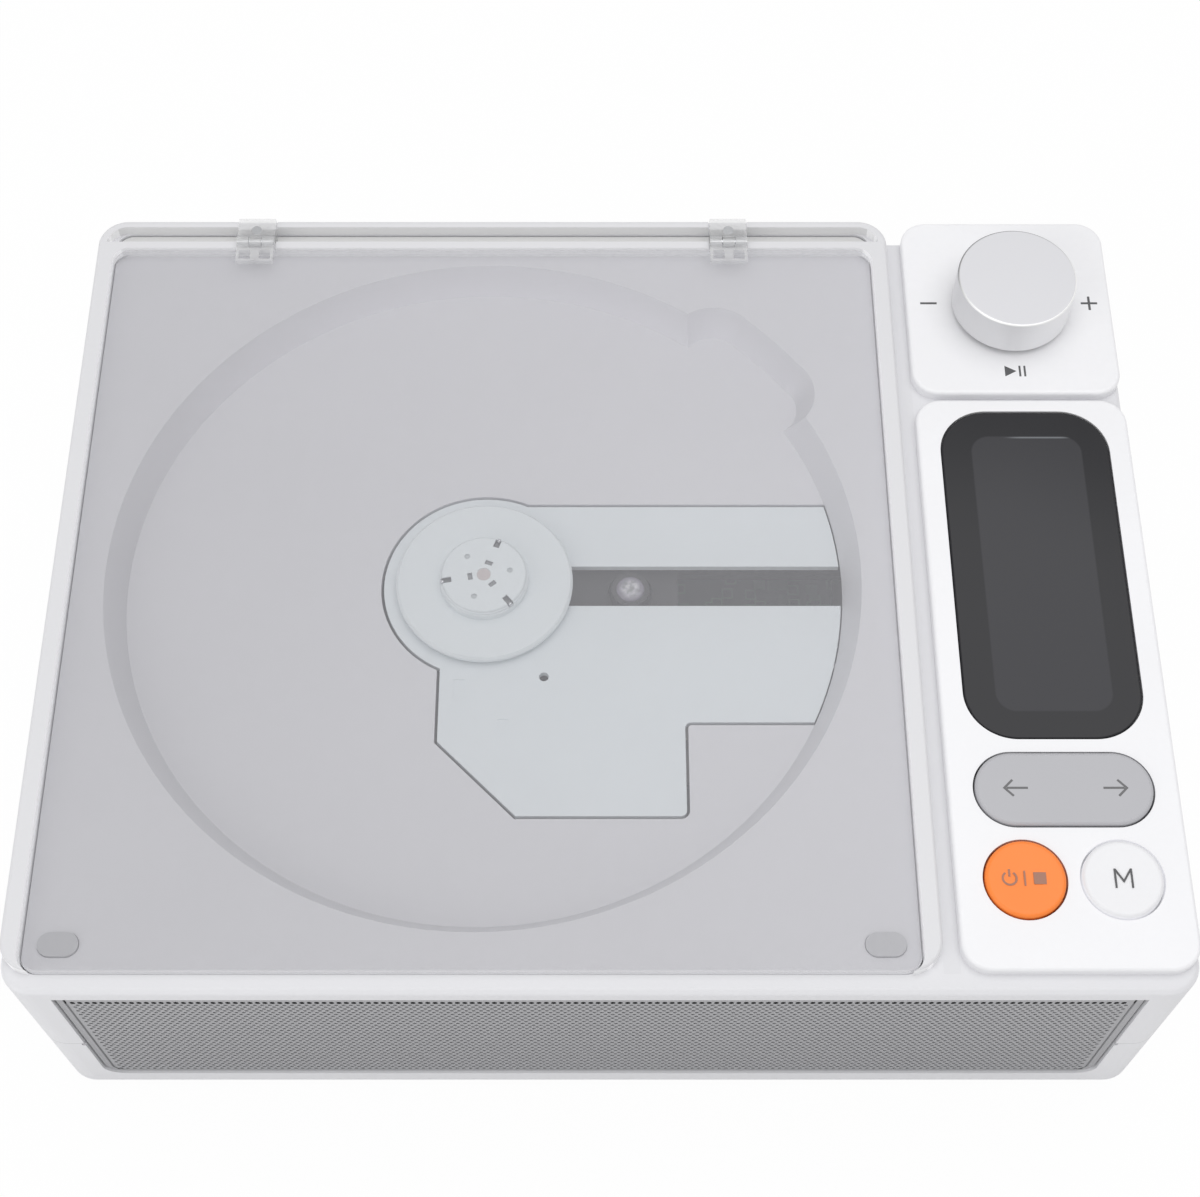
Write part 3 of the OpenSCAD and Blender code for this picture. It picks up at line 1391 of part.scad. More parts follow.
housing_base();
housing_top();
deck_frame();
deck_tray();
mechanism_cover();
lid();
hinge_bracket_left();
hinge_bracket_right();
hinge_leaf_left();
hinge_leaf_right();
hinge_pins();
hinge_screws();
lid_bumpers();
knob_plate();
display_plate();
display_window();
display_panel();
volume_knob();
encoder_shaft();
encoder_plunger();
encoder_body();
track_rocker();
power_button();
mode_button();
button_switches();
control_board();
main_board();
board_screws();
battery_pack();
usb_socket();
audio_jack();
front_grille();
speaker_baffle();
speaker_left_basket();
speaker_left_cone();
speaker_left_magnet();
speaker_right_basket();
speaker_right_cone();
speaker_right_magnet();
turntable();
hub_balls();
spindle_shaft();
spindle_motor();
mechanism_chassis();
damper_grommets();
chassis_screws();
guide_rod_back();
guide_rod_front();
pickup_sled();
lens_holder();
pickup_lens();
drive_gear();
gear_axle();
sled_motor();
motor_pinion();
base_screws();
rubber_feet();
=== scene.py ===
import math
import bmesh
import bpy
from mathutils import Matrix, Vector


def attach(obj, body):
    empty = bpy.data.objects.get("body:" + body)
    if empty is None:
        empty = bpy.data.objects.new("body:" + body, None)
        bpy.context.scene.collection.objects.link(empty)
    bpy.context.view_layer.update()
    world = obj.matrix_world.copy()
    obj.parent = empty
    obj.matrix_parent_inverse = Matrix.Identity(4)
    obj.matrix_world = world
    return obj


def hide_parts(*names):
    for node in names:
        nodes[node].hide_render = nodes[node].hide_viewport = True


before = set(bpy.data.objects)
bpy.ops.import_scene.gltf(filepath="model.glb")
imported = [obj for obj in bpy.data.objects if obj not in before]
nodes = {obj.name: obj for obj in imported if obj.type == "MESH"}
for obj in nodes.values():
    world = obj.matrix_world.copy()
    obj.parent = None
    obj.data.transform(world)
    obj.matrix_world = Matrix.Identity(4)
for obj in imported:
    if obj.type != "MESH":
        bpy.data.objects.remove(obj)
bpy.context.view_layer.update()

mm = 0.001
black = (0.0, 0.0, 0.0, 1.0)
white = (1.0, 1.0, 1.0, 1.0)
scene = bpy.context.scene


# Shader maths as expressions: a wire is one output socket of a material being made
class Wire:
    def __init__(self, paint, socket):
        self.paint = paint
        self.socket = socket

    def maths(self, operation, *others):
        return self.paint.add("ShaderNodeMath", {"operation": operation}, [self, *others])

    def turned(self, operation, first):
        return self.paint.add("ShaderNodeMath", {"operation": operation}, [first, self])

    def __add__(self, other):
        return self.maths("ADD", other)

    def __radd__(self, other):
        return self.turned("ADD", other)

    def __sub__(self, other):
        return self.maths("SUBTRACT", other)

    def __rsub__(self, other):
        return self.turned("SUBTRACT", other)

    def __mul__(self, other):
        return self.maths("MULTIPLY", other)

    def __rmul__(self, other):
        return self.turned("MULTIPLY", other)

    def __truediv__(self, other):
        return self.maths("DIVIDE", other)

    def __lt__(self, other):
        return self.maths("LESS_THAN", other)

    def __gt__(self, other):
        return self.maths("GREATER_THAN", other)

    def __abs__(self):
        return self.maths("ABSOLUTE")

    def softStep(self, low, high):
        return self.paint.add("ShaderNodeMapRange", {"interpolation_type": "SMOOTHSTEP"},
                              {"Value": self, "From Min": low, "From Max": high})


# What most finishes share: the noise of their flow shade and grain, and how far it turns the gloss
finish = {
    "flowScale": 0.035, "detail": 3.0, "grainRough": 0.6,
    "grainGloss": 0.16, "flowGloss": 0.06, "grainDepth": 0.00003, "coatRough": 0.06,
}
socketNames = {
    "Base": "Base Color", "Coat": "Coat Weight", "CoatRough": "Coat Roughness",
    "Specular": "Specular IOR Level", "Glow": "Emission Color", "GlowStrength": "Emission Strength",
}


# The nodes of one material
class Paint:
    def __init__(self, name):
        self.mat = bpy.data.materials.new(name)
        self.start(self.mat, "ShaderNodeOutputMaterial")
        self.surface = self.add("ShaderNodeBsdfPrincipled")
        self.show(self.surface)

    def start(self, owner, output):
        owner.use_nodes = True
        self.tree = owner.node_tree
        self.tree.nodes.clear()
        self.out = self.tree.nodes.new(output)

    def show(self, shader):
        self.tree.links.new(shader.socket, self.out.inputs[0])

    def feed(self, socket, value):
        if isinstance(value, Wire):
            self.tree.links.new(value.socket, socket)
        else:
            socket.default_value = value

    # Any node: its type, its settings first, then the values or wires of its sockets
    def add(self, kind, settings=None, feeds=None, out=0):
        node = self.tree.nodes.new(kind)
        for key, value in (settings or {}).items():
            setattr(node, key, value)
        pairs = feeds.items() if isinstance(feeds, dict) else enumerate(feeds or [])
        for key, value in pairs:
            self.feed(node.inputs[key], value)
        return Wire(self, node.outputs[out])

    # The place on the object in millimetres, in the player's own frame
    def place(self):
        at = self.add("ShaderNodeTexCoord", out="Object")
        return self.add("ShaderNodeVectorMath", {"operation": "SCALE"}, {0: at, "Scale": 1 / mm})

    # A place stretched by a factor along each axis
    def stretched(self, factors):
        return self.add("ShaderNodeVectorMath", {"operation": "MULTIPLY"}, [self.place(), factors])

    # The three parts of a vector
    def along(self, vector):
        node = self.add("ShaderNodeSeparateXYZ", {}, [vector]).socket.node
        return [Wire(self, socket) for socket in node.outputs]

    # How far the surface faces across, away and up
    def facing(self):
        return self.along(self.add("ShaderNodeNewGeometry", out="Normal"))

    def noise(self, place, scale, detail=2.0, rough=0.5):
        feeds = {"Vector": place, "Scale": scale, "Detail": detail, "Roughness": rough}
        return self.add("ShaderNodeTexNoise", {}, feeds)

    def flow(self, place):
        return self.noise(place, finish["flowScale"], finish["detail"])

    def grain(self, place, size):
        return self.noise(place, 1 / size, finish["detail"], finish["grainRough"])

    # 0, 6 and 7 are the factor and the two colours of a Mix node, and output 2 is its colour
    def tint(self, mask, first, second):
        return self.add("ShaderNodeMix", {"data_type": "RGBA"}, {0: mask, 6: first, 7: second}, out=2)

    def bump(self, height, strength, distance=finish["grainDepth"]):
        feeds = {"Height": height, "Strength": strength, "Distance": distance}
        return self.add("ShaderNodeBump", {}, feeds)

    def set(self, **sockets):
        inputs = self.surface.socket.node.inputs
        for key, value in sockets.items():
            self.feed(inputs[socketNames.get(key, key)], value)
        return self.mat


def rgb(r, g, b):
    return (r, g, b, 1.0)


def darker(colour, share):
    return rgb(*[c * share for c in colour[:3]])


# Distance from an upright axis
def fromAxis(x, y, midX, midY):
    dx = x - midX
    dy = y - midY
    return (dx * dx + dy * dy).maths("SQRT")


def grainGloss(rough, fine):
    return rough + (fine - 0.5) * finish["grainGloss"]


def unevenGloss(rough, fine, flow):
    return grainGloss(rough, fine) + (flow - 0.5) * finish["flowGloss"]


print("materials")
# The glow in the gap round the white key is painted light
keyGapPaintedLight = {"gap": (79.4, -54.2, 6.7), "gapUpright": (0.2, 0.7), "gapPaintedGlow": 0.17}
mouldedBase = {
    "grain": 0.25, "grainSize": 0.45, "shade": 0.03, "coat": 0.0, "gap": None,
    "flowShare": 0.7, "fineShare": 0.3, "mottle": (0.3, 0.7),
}


# Moulded plastic: a spark-eroded grain, faint flow shade and slightly uneven gloss. Where a gap is
# given, its upright walls glow a little, a painted light that lifts the shade in the gap round the white
# key.
def mouldedPlastic(name, ownLook):
    look = {**mouldedBase, **ownLook}
    paint = Paint(name)
    place = paint.place()
    flow = paint.flow(place)
    fine = paint.grain(place, look["grainSize"])
    mottle = (flow * look["flowShare"] + fine * look["fineShare"]).softStep(*look["mottle"])
    if look["gap"]:
        midX, midY, radius = look["gap"]
        x, y, _ = paint.along(place)
        # painted light: the upright walls inside the gap glow faintly
        upright = 1 - paint.facing()[2].softStep(*look["gapUpright"])
        gap = upright * (fromAxis(x, y, midX, midY) < radius)
        paint.set(Glow=paint.tint(gap, black, look["colour"]), GlowStrength=look["gapPaintedGlow"])
    return paint.set(
        Base=paint.tint(mottle, darker(look["colour"], 1 - look["shade"]), look["colour"]),
        Roughness=unevenGloss(look["rough"], fine, flow),
        Normal=paint.bump(fine, look["grain"]),
        Coat=look["coat"], CoatRough=finish["coatRough"], Specular=0.5)


whitePlate = {"colour": rgb(0.87, 0.87, 0.89), "rough": 0.34, "grain": 0.05, "grainSize": 1.2,
              "coat": 0.12, **keyGapPaintedLight}
whiteKey = {"colour": rgb(0.83, 0.83, 0.85), "rough": 0.34, "grain": 0.05, "grainSize": 0.8,
            "coat": 0.1, **keyGapPaintedLight}
paleCover = {"colour": rgb(0.815, 0.86, 0.885), "rough": 0.4, "grain": 0.12, "grainSize": 0.7}
greyRocker = {"colour": rgb(0.47, 0.47, 0.495), "rough": 0.42, "grain": 0.18, "grainSize": 0.4}
orangeKey = {"colour": rgb(1.0, 0.25, 0.035), "rough": 0.4, "grain": 0.18, "grainSize": 0.4}
blackPart = {"colour": rgb(0.018, 0.018, 0.02), "rough": 0.45, "grain": 0.3, "grainSize": 0.5,
             "shade": 0.15}
sledBlack = {**blackPart, "rough": 0.6}
gearAcetal = {"colour": rgb(0.72, 0.69, 0.6), "rough": 0.38, "grain": 0.1, "grainSize": 0.6,
              "shade": 0.06}
softRubber = {"colour": rgb(0.12, 0.12, 0.125), "rough": 0.75, "grain": 0.5, "grainSize": 0.5,
              "shade": 0.1}
padRubber = {"colour": rgb(0.56, 0.56, 0.58), "rough": 0.6, "grain": 0.4, "grainSize": 0.5,
             "shade": 0.06}

platePaint = mouldedPlastic("plateWhite", whitePlate)
sledPaint = mouldedPlastic("sledBlack", sledBlack)
coverPaint = mouldedPlastic("coverPale", paleCover)
rockerPaint = mouldedPlastic("rockerGrey", greyRocker)
orangePaint = mouldedPlastic("keyOrange", orangeKey)
keyPaint = mouldedPlastic("keyWhite", whiteKey)
blackPaint = mouldedPlastic("blackMoulding", blackPart)
gearPaint = mouldedPlastic("gearAcetal", gearAcetal)
rubberPaint = mouldedPlastic("footRubber", softRubber)
padPaint = mouldedPlastic("bumperRubber", padRubber)

metalBase = {"lay": 0.5, "layDepth": 0.00002, "shade": 0.12, "acrossLay": 6.0, "alongLay": 0.25,
             "uneven": 0.2}


# Machined or rolled metal with a fine lay along one axis
def layMetal(name, ownLook):
    look = {**metalBase, **ownLook}
    paint = Paint(name)
    factors = [look["acrossLay"]] * 3
    factors[look["axis"]] = look["alongLay"]
    lines = paint.noise(paint.stretched(factors), 1.0, finish["detail"], finish["grainRough"])
    return paint.set(
        Base=paint.tint(lines, darker(look["colour"], 1 - look["shade"]), look["colour"]),
        Metallic=1.0, Roughness=look["rough"] + (lines - 0.5) * look["uneven"],
        Normal=paint.bump(lines, look["lay"], look["layDepth"]))


rolledSteel = {"colour": rgb(0.55, 0.56, 0.58), "rough": 0.28, "axis": 0}
groundSteel = {"colour": rgb(0.66, 0.67, 0.69), "rough": 0.16, "axis": 0, "lay": 0.25, "shade": 0.06}
platedScrew = {"colour": rgb(0.68, 0.69, 0.71), "rough": 0.22, "axis": 2, "lay": 0.2}
zincSheet = {"colour": rgb(0.5, 0.51, 0.52), "rough": 0.38, "axis": 1, "lay": 0.3}
blackenedSheet = {"colour": rgb(0.06, 0.06, 0.065), "rough": 0.5, "axis": 1, "lay": 0.3}

steelPaint = layMetal("rolledSteel", rolledSteel)
rodPaint = layMetal("groundSteel", groundSteel)
screwPaint = layMetal("platedScrew", platedScrew)
zincPaint = layMetal("zincSheet", zincSheet)
blackSheetPaint = layMetal("blackenedSheet", blackenedSheet)

# groove: its left and right sides and where it ends at the front
whiteShell = {
    "colour": rgb(0.8, 0.8, 0.825), "rough": 0.42, "grain": 0.22, "grainSize": 0.5,
    "level": (0.6, 0.95), "topShade": 0.07, "uneven": 0.03,
    "groove": (51.4, 54.0, -68.4), "grooveShade": 0.03,
    "seam": 24.0, "seamHalf": 0.14, "seamCore": 0.4, "seamShade": 0.3,
}


# The shells: grained white with a line at the seam, and painted shade that darkens their upward faces a
# little and the groove's a little more
def shellPlastic(name, look):
    paint = Paint(name)
    place = paint.place()
    x, y, z = paint.along(place)
    flow = paint.flow(place)
    fine = paint.grain(place, look["grainSize"])
    level = paint.facing()[2].softStep(*look["level"])
    left, right, front = look["groove"]
    groove = (x > left) * (x < right) * (y > front)
    half = look["seamHalf"]
    seam = 1 - abs(z - look["seam"]).softStep(half * look["seamCore"], half)
    # painted shade on the upward faces and, a little more, in the groove
    shade = (1 - level * (look["topShade"] + groove * look["grooveShade"])
             - (flow + fine * 0.5) * look["uneven"] - seam * look["seamShade"])
    return paint.set(
        Base=paint.tint(shade, black, look["colour"]),
        Roughness=unevenGloss(look["rough"], fine, flow),
        Normal=paint.bump(fine, look["grain"]))


shellPaint = shellPlastic("shellWhite", whiteShell)

whiteFrame = {
    "colour": rgb(0.72, 0.72, 0.74), "topShare": 0.97, "wall": rgb(0.93, 0.93, 0.94),
    "rough": 0.36, "grain": 0.12, "grainSize": 0.6, "upright": (0.2, 0.6), "sideways": 0.5,
    "backWall": 66.0, "backWallPaintedShade": rgb(0.79, 0.79, 0.795),
    "midX": -19.3, "halfX": 69.0, "lidGapPaintedGlow": 0.16,
}


# The rails and the rim: painted light makes their upright walls brighter than their tops, the back wall
# keeps its own painted shade, and a painted glow lights the gap beside the lid
def framePlastic(name, look):
    paint = Paint(name)
    place = paint.place()
    x, y, _ = paint.along(place)
    fine = paint.grain(place, look["grainSize"])
    across, away, up = paint.facing()
    wall = 1 - up.softStep(*look["upright"])
    back = (away < -look["sideways"]) * (y > look["backWall"])
    top = paint.tint(fine, darker(look["colour"], look["topShare"]), look["colour"])
    side = paint.tint(back, look["wall"], look["backWallPaintedShade"])
    # painted glow on the inner walls beside the lid
    inner = wall * (abs(across) > look["sideways"]) * (abs(x - look["midX"]) < look["halfX"])
    return paint.set(
        Base=paint.tint(wall, top, side), Roughness=grainGloss(look["rough"], fine),
        Glow=paint.tint(inner, black, look["wall"]), GlowStrength=look["lidGapPaintedGlow"],
        Normal=paint.bump(fine, look["grain"]))


framePaint = framePlastic("frameWhite", whiteFrame)

greyDeck = {
    "colour": rgb(0.75, 0.745, 0.775), "rough": 0.55, "grain": 0.3, "grainSize": 0.4, "uneven": 0.03,
    "channel": 66.8, "channelEdge": 0.1, "channelPaintedShade": rgb(0.7, 0.7, 0.695),
    "floor": 44.0, "depth": 5.5, "level": (0.6, 0.95), "wallShade": 0.04, "lowShade": 0.08,
    "wallPolish": 0.12, "backFacing": (-0.1, 0.9), "backWall": rgb(0.93, 0.92, 0.97),
    "backPaintedLight": 0.2, "backLowPaintedLight": 0.4,
}


# The deck: grained grey, the well's wall smoother; painted shade darkens the side walls towards the
# floor and the channel behind the lid, and painted light brightens the back wall, most near the floor
def deckPlastic(name, look):
    paint = Paint(name)
    place = paint.place()
    _, y, z = paint.along(place)
    flow = paint.flow(place)
    fine = paint.grain(place, look["grainSize"])
    _, away, up = paint.facing()
    wall = 1 - up.softStep(*look["level"])
    back = (-1.0 * away).softStep(*look["backFacing"])
    low = 1 - (z - look["floor"]) / look["depth"]
    # painted shade on the side walls, deeper towards the floor
    shade = (1 - wall * (look["wallShade"] + low * look["lowShade"]) * (1 - back)
             - (flow + fine * 0.5) * look["uneven"])
    channel = (y - look["channel"]).softStep(-look["channelEdge"], look["channelEdge"])
    colour = paint.tint(channel, look["colour"], look["channelPaintedShade"])
    # painted light on the well's back wall
    lit = wall * back * (low * look["backLowPaintedLight"] + look["backPaintedLight"])
    colour = paint.tint(lit, colour, look["backWall"])
    return paint.set(
        Base=paint.tint(shade, black, colour),
        Roughness=look["rough"] - wall * look["wallPolish"] + (fine - 0.5) * finish["grainGloss"],
        Normal=paint.bump(fine, look["grain"]))


deckPaint = deckPlastic("deckGrey", greyDeck)

whiteHub = {
    "colour": rgb(0.825, 0.87, 0.89), "dark": 0.97, "mottle": 1.3, "rough": 0.32, "gloss": 0.06,
    "grain": 0.06, "midX": -19.3, "midY": 0.8, "top": 48.2,
    "recessShade": rgb(0.16, 0.165, 0.17), "recessR": 7.1, "recessFloor": 0.45, "recessMouth": 0.06,
    "deepest": 1.1, "recessShadeShare": 0.85,
    "shaft": rgb(0.6, 0.53, 0.52), "shaftR": 1.15, "shaftEdge": 0.1, "shaftDepth": 0.3,
}


# The hub: bright moulding with painted shade in its recesses, and the shaft's pinkish end in the middle
def hubPlastic(name, look):
    paint = Paint(name)
    place = paint.place()
    x, y, z = paint.along(place)
    fine = paint.noise(place, look["mottle"], finish["detail"])
    reach = fromAxis(x, y, look["midX"], look["midY"])
    shaftR, edge, top = look["shaftR"], look["shaftEdge"], look["top"]
    centre = 1 - reach.softStep(shaftR - edge, shaftR + edge)
    sunk = 1 - z.softStep(top - look["recessFloor"], top - look["recessMouth"])
    recessShade = sunk * (z > top - look["deepest"]) * (reach < look["recessR"])
    tone = paint.tint(fine, darker(look["colour"], look["dark"]), look["colour"])
    # painted shade in the recesses
    tone = paint.tint(recessShade * look["recessShadeShare"], tone, look["recessShade"])
    return paint.set(
        Base=paint.tint(centre * (z > top - look["shaftDepth"]), tone, look["shaft"]),
        Roughness=look["rough"] + fine * look["gloss"], Normal=paint.bump(fine, look["grain"]))


hubPaint = hubPlastic("hubWhite", whiteHub)

acrylicBase = {
    "cloud": 0.03, "fine": 2.2, "gloss": 0.03, "ripple": 0.04, "rippleDepth": 0.0002, "specular": 0.35,
    "slant": 0.6, "drift": 60, "farRange": (-110.0, 70.0),
    "level": (0.3, 0.98), "edge": rgb(0.93, 0.935, 0.95),
}


# Clear acrylic with the light haze of a protective film; a painted reflection lightens it towards the
# back right, and a painted highlight brightens its upright edges
def clearAcrylic(name, ownLook):
    look = {**acrylicBase, **ownLook}
    paint = Paint(name)
    place = paint.place()
    x, y, _ = paint.along(place)
    cloud = paint.noise(place, look["cloud"], finish["detail"])
    fine = paint.noise(place, look["fine"])
    # painted reflection, lighter towards the back right
    far = (x + y * look["slant"] + (cloud - 0.5) * look["drift"]).softStep(*look["farRange"])
    # painted highlight on the upright edges
    side = 1 - abs(paint.facing()[2]).softStep(*look["level"])
    face = paint.tint(far, look["colour"], look["farReflectionColour"])
    alpha = look["alpha"]
    return paint.set(
        Base=paint.tint(side, face, look["edge"]),
        Roughness=look["rough"] + (fine - 0.5) * look["gloss"],
        Alpha=alpha + side * (look["edgeAlpha"] - alpha) + (cloud - 0.5) * look["haze"],
        Normal=paint.bump(cloud, look["ripple"], look["rippleDepth"]), Specular=look["specular"])


clearLid = {"colour": rgb(0.46, 0.46, 0.485), "farReflectionColour": rgb(0.58, 0.58, 0.61),
            "alpha": 0.195, "edgeAlpha": 0.3, "rough": 0.2, "haze": 0.03}
clearHinge = {"colour": rgb(0.84, 0.84, 0.845), "farReflectionColour": rgb(0.86, 0.86, 0.865),
              "alpha": 0.3, "edgeAlpha": 0.36, "rough": 0.12, "haze": 0.02}
lidPaint = clearAcrylic("lidAcrylic", clearLid)
hingePaint = clearAcrylic("hingeClear", clearHinge)

darkWindow = {
    "midX": 72.2, "midY": -0.3, "halfX": 9.3, "halfY": 25.7, "corner": 3.2, "edge": 0.2,
    "border": rgb(0.025, 0.025, 0.028), "screenLow": rgb(0.04, 0.04, 0.0455),
    "screenHigh": rgb(0.046, 0.046, 0.051),
    "line": rgb(0.3, 0.32, 0.34), "lineTint": 0.5, "lineDown": 0.2, "lineHalf": (0.05, 0.25),
    "lineRight": 2.5, "lineEnds": (3.0, 6.5),
    "smear": 0.08, "rough": 0.12, "gloss": 0.05, "ripple": 0.03, "rippleDepth": 0.0002,
    "specular": 0.25,
}


# Smoked window: near black border, a slightly lighter screen behind it and a thin lit line at its top
def smokedWindow(name, look):
    paint = Paint(name)
    place = paint.place()
    x, y, _ = paint.along(place)
    halfY, corner, edge = look["halfY"], look["corner"], look["edge"]
    overX = (abs(x - look["midX"]) - look["halfX"] + corner).maths("MAXIMUM", 0.0)
    overY = (abs(y - look["midY"]) - halfY + corner).maths("MAXIMUM", 0.0)
    outline = (overX * overX + overY * overY).maths("SQRT")
    inside = 1 - outline.softStep(corner - edge, corner + edge)
    fade = (y - look["midY"]).softStep(-halfY, halfY)
    screen = paint.tint(fade, look["screenLow"], look["screenHigh"])
    lineY = look["midY"] + halfY - look["lineDown"]
    line = ((1 - abs(y - lineY).softStep(*look["lineHalf"]))
            * (1 - abs(x - look["midX"] - look["lineRight"]).softStep(*look["lineEnds"])))
    lit = paint.tint(line * look["lineTint"], screen, look["line"])
    smear = paint.noise(place, look["smear"], finish["detail"])
    return paint.set(
        Base=paint.tint(inside, look["border"], lit),
        Roughness=look["rough"] + smear * look["gloss"], Specular=look["specular"],
        Normal=paint.bump(smear, look["ripple"], look["rippleDepth"]))


windowPaint = smokedWindow("smokedWindow", darkWindow)

blastedKnob = {
    "low": rgb(0.69, 0.69, 0.715), "high": rgb(0.74, 0.74, 0.765),
    "side": rgb(0.88, 0.88, 0.895), "sideShaded": rgb(0.75, 0.75, 0.765), "sideLightRange": (-0.9, 0.5),
    "edge": rgb(0.25, 0.25, 0.26), "glintTurn": -0.4, "glintRange": (-0.3, 0.6),
    "level": (0.4, 0.9), "chamferLow": (0.3, 0.45), "chamferHigh": (0.93, 0.98),
    "blast": 4.0, "blastRough": 0.7, "blastShare": 0.6, "rings": 5.0, "ringShare": 0.4,
    "metallic": 0.5, "rough": 0.5, "blastGloss": 0.12, "ringGloss": 0.06, "grain": 0.2,
}


# Blasted aluminium with an even top and turning rings down the side; painted light darkens the side on
# the left and lightens it on the right, and the chamfer carries a painted highlight at the front and
# painted shade at the upper left
def turnedAluminium(name, look):
    paint = Paint(name)
    place = paint.place()
    z = paint.along(place)[2]
    across, away, up = paint.facing()
    side = 1 - up.softStep(*look["level"])
    blast = paint.noise(place, look["blast"], finish["detail"], look["blastRough"])
    height = paint.add("ShaderNodeCombineXYZ", {}, [0.0, 0.0, z * look["rings"]])
    rings = paint.noise(height, 1.0)
    tone = blast * look["blastShare"] + side * rings * look["ringShare"]
    top = paint.tint(tone, look["low"], look["high"])
    # painted light across the side, darker on the left
    litFlank = paint.tint(across.softStep(*look["sideLightRange"]), look["sideShaded"], look["side"])
    chamfer = up.softStep(*look["chamferLow"]) * (1 - up.softStep(*look["chamferHigh"]))
    # painted highlight at the front of the chamfer, painted shade at its upper left
    glint = (away + across * look["glintTurn"]).softStep(*look["glintRange"])
    edge = paint.tint(glint, white, look["edge"])
    return paint.set(
        Base=paint.tint(chamfer, paint.tint(side, top, litFlank), edge), Metallic=look["metallic"],
        Roughness=(look["rough"] + (blast - 0.5) * look["blastGloss"]
                   + side * (rings - 0.5) * look["ringGloss"]),
        Normal=paint.bump(tone, look["grain"]))


knobPaint = turnedAluminium("turnedAluminium", blastedKnob)

# holeDepth: how fast painted shade darkens the holes behind the front. firstRow: the height from which
# they are darkest, in the painted shadow of the ledge's lip
coatedGrille = {
    "low": rgb(0.36, 0.36, 0.375), "high": rgb(0.42, 0.42, 0.435), "lowerDark": (5.0, 46.0),
    "lowerDarkShare": 0.6, "fineShare": 0.4, "hole": rgb(0.01, 0.01, 0.011), "front": -71.1,
    "holeDepth": 0.12, "holeTint": 0.3, "firstRow": 43.65, "firstEdge": 0.1, "firstRowShadow": 0.7,
    "fine": 3.5, "rough": 0.5, "gloss": 0.2, "metallic": 0.15, "grain": 0.35, "grainDepth": 0.00004,
}


# Powder coated sheet for the grille, a little darker towards the bottom, with painted shade in its holes
def grilleCoat(name, look):
    paint = Paint(name)
    place = paint.place()
    _, y, z = paint.along(place)
    fine = paint.noise(place, look["fine"], finish["detail"], finish["grainRough"])
    tone = z.softStep(*look["lowerDark"]) * look["lowerDarkShare"] + fine * look["fineShare"]
    coat = paint.tint(tone, look["low"], look["high"])
    # painted shade in the holes, darkest in the first row
    depth = (y - look["front"]).softStep(0.0, look["holeDepth"])
    first = (z - look["firstRow"]).softStep(-look["firstEdge"], look["firstEdge"])
    coat = paint.tint(depth * (look["holeTint"] + first * look["firstRowShadow"]), coat, look["hole"])
    return paint.set(
        Base=coat, Roughness=look["rough"] + (fine - 0.5) * look["gloss"], Metallic=look["metallic"],
        Normal=paint.bump(fine, look["grain"], look["grainDepth"]))


grillePaint = grilleCoat("grilleCoat", coatedGrille)

greenBoard = {
    "mask": rgb(0.012, 0.1, 0.045), "track": rgb(0.03, 0.19, 0.08), "cells": 0.35, "trackAt": 0.32,
    "trackHalf": (0.02, 0.08), "fine": 2.0, "rough": 0.3, "gloss": 0.12,
    "raised": 0.3, "trackDepth": 0.00004,
}


# Solder mask with copper tracks showing as faint raised lines
def circuitBoard(name, look):
    paint = Paint(name)
    place = paint.place()
    settings = {"feature": "F1", "distance": "CHEBYCHEV"}
    cells = paint.add("ShaderNodeTexVoronoi", settings, {"Vector": place, "Scale": look["cells"]})
    tracks = 1 - abs(cells - look["trackAt"]).softStep(*look["trackHalf"])
    fine = paint.noise(place, look["fine"])
    return paint.set(
        Base=paint.tint(tracks, look["mask"], look["track"]),
        Roughness=look["rough"] + fine * look["gloss"],
        Normal=paint.bump(tracks, look["raised"], look["trackDepth"]))


boardPaint = circuitBoard("solderMask", greenBoard)

blueShrink = {
    "low": rgb(0.02, 0.08, 0.3), "high": rgb(0.035, 0.13, 0.42), "stretch": [1.0, 0.2, 1.0],
    "wrinkle": 0.8, "rough": 0.25, "gloss": 0.15, "fold": 0.4, "foldDepth": 0.0003,
}


# Heat shrink round the two cells, with soft wrinkles along them
def shrinkWrap(name, look):
    paint = Paint(name)
    wrinkle = paint.noise(paint.stretched(look["stretch"]), look["wrinkle"], finish["detail"])
    return paint.set(
        Base=paint.tint(wrinkle, look["low"], look["high"]),
        Roughness=look["rough"] + wrinkle * look["gloss"],
        Normal=paint.bump(wrinkle, look["fold"], look["foldDepth"]))


batteryPaint = shrinkWrap("shrinkWrap", blueShrink)

blackCone = {
    "low": rgb(0.02, 0.02, 0.022), "high": rgb(0.05, 0.05, 0.052), "fibre": 1.8, "detail": 4.0,
    "fibreRough": 0.7, "rough": 0.8, "uneven": 0.2, "raised": 0.6, "fibreDepth": 0.00015,
}


# Pressed paper cone with its fibres
def paperCone(name, look):
    paint = Paint(name)
    fibre = paint.noise(paint.place(), look["fibre"], look["detail"], look["fibreRough"])
    return paint.set(
        Base=paint.tint(fibre, look["low"], look["high"]),
        Roughness=look["rough"] + (fibre - 0.5) * look["uneven"],
        Normal=paint.bump(fibre, look["raised"], look["fibreDepth"]))


conePaint = paperCone("paperCone", blackCone)

pickupGlass = {
    "midX": 5.1, "midY": 0.8, "rimRange": (0.7, 2.2), "low": rgb(0.25, 0.25, 0.265),
    "high": rgb(0.62, 0.62, 0.65), "rim": rgb(0.2, 0.18, 0.23), "cloud": 0.9,
    "cloudRange": (0.35, 0.65), "rough": 0.08, "rimGloss": 0.1, "coat": 0.5, "coatRough": 0.05,
}


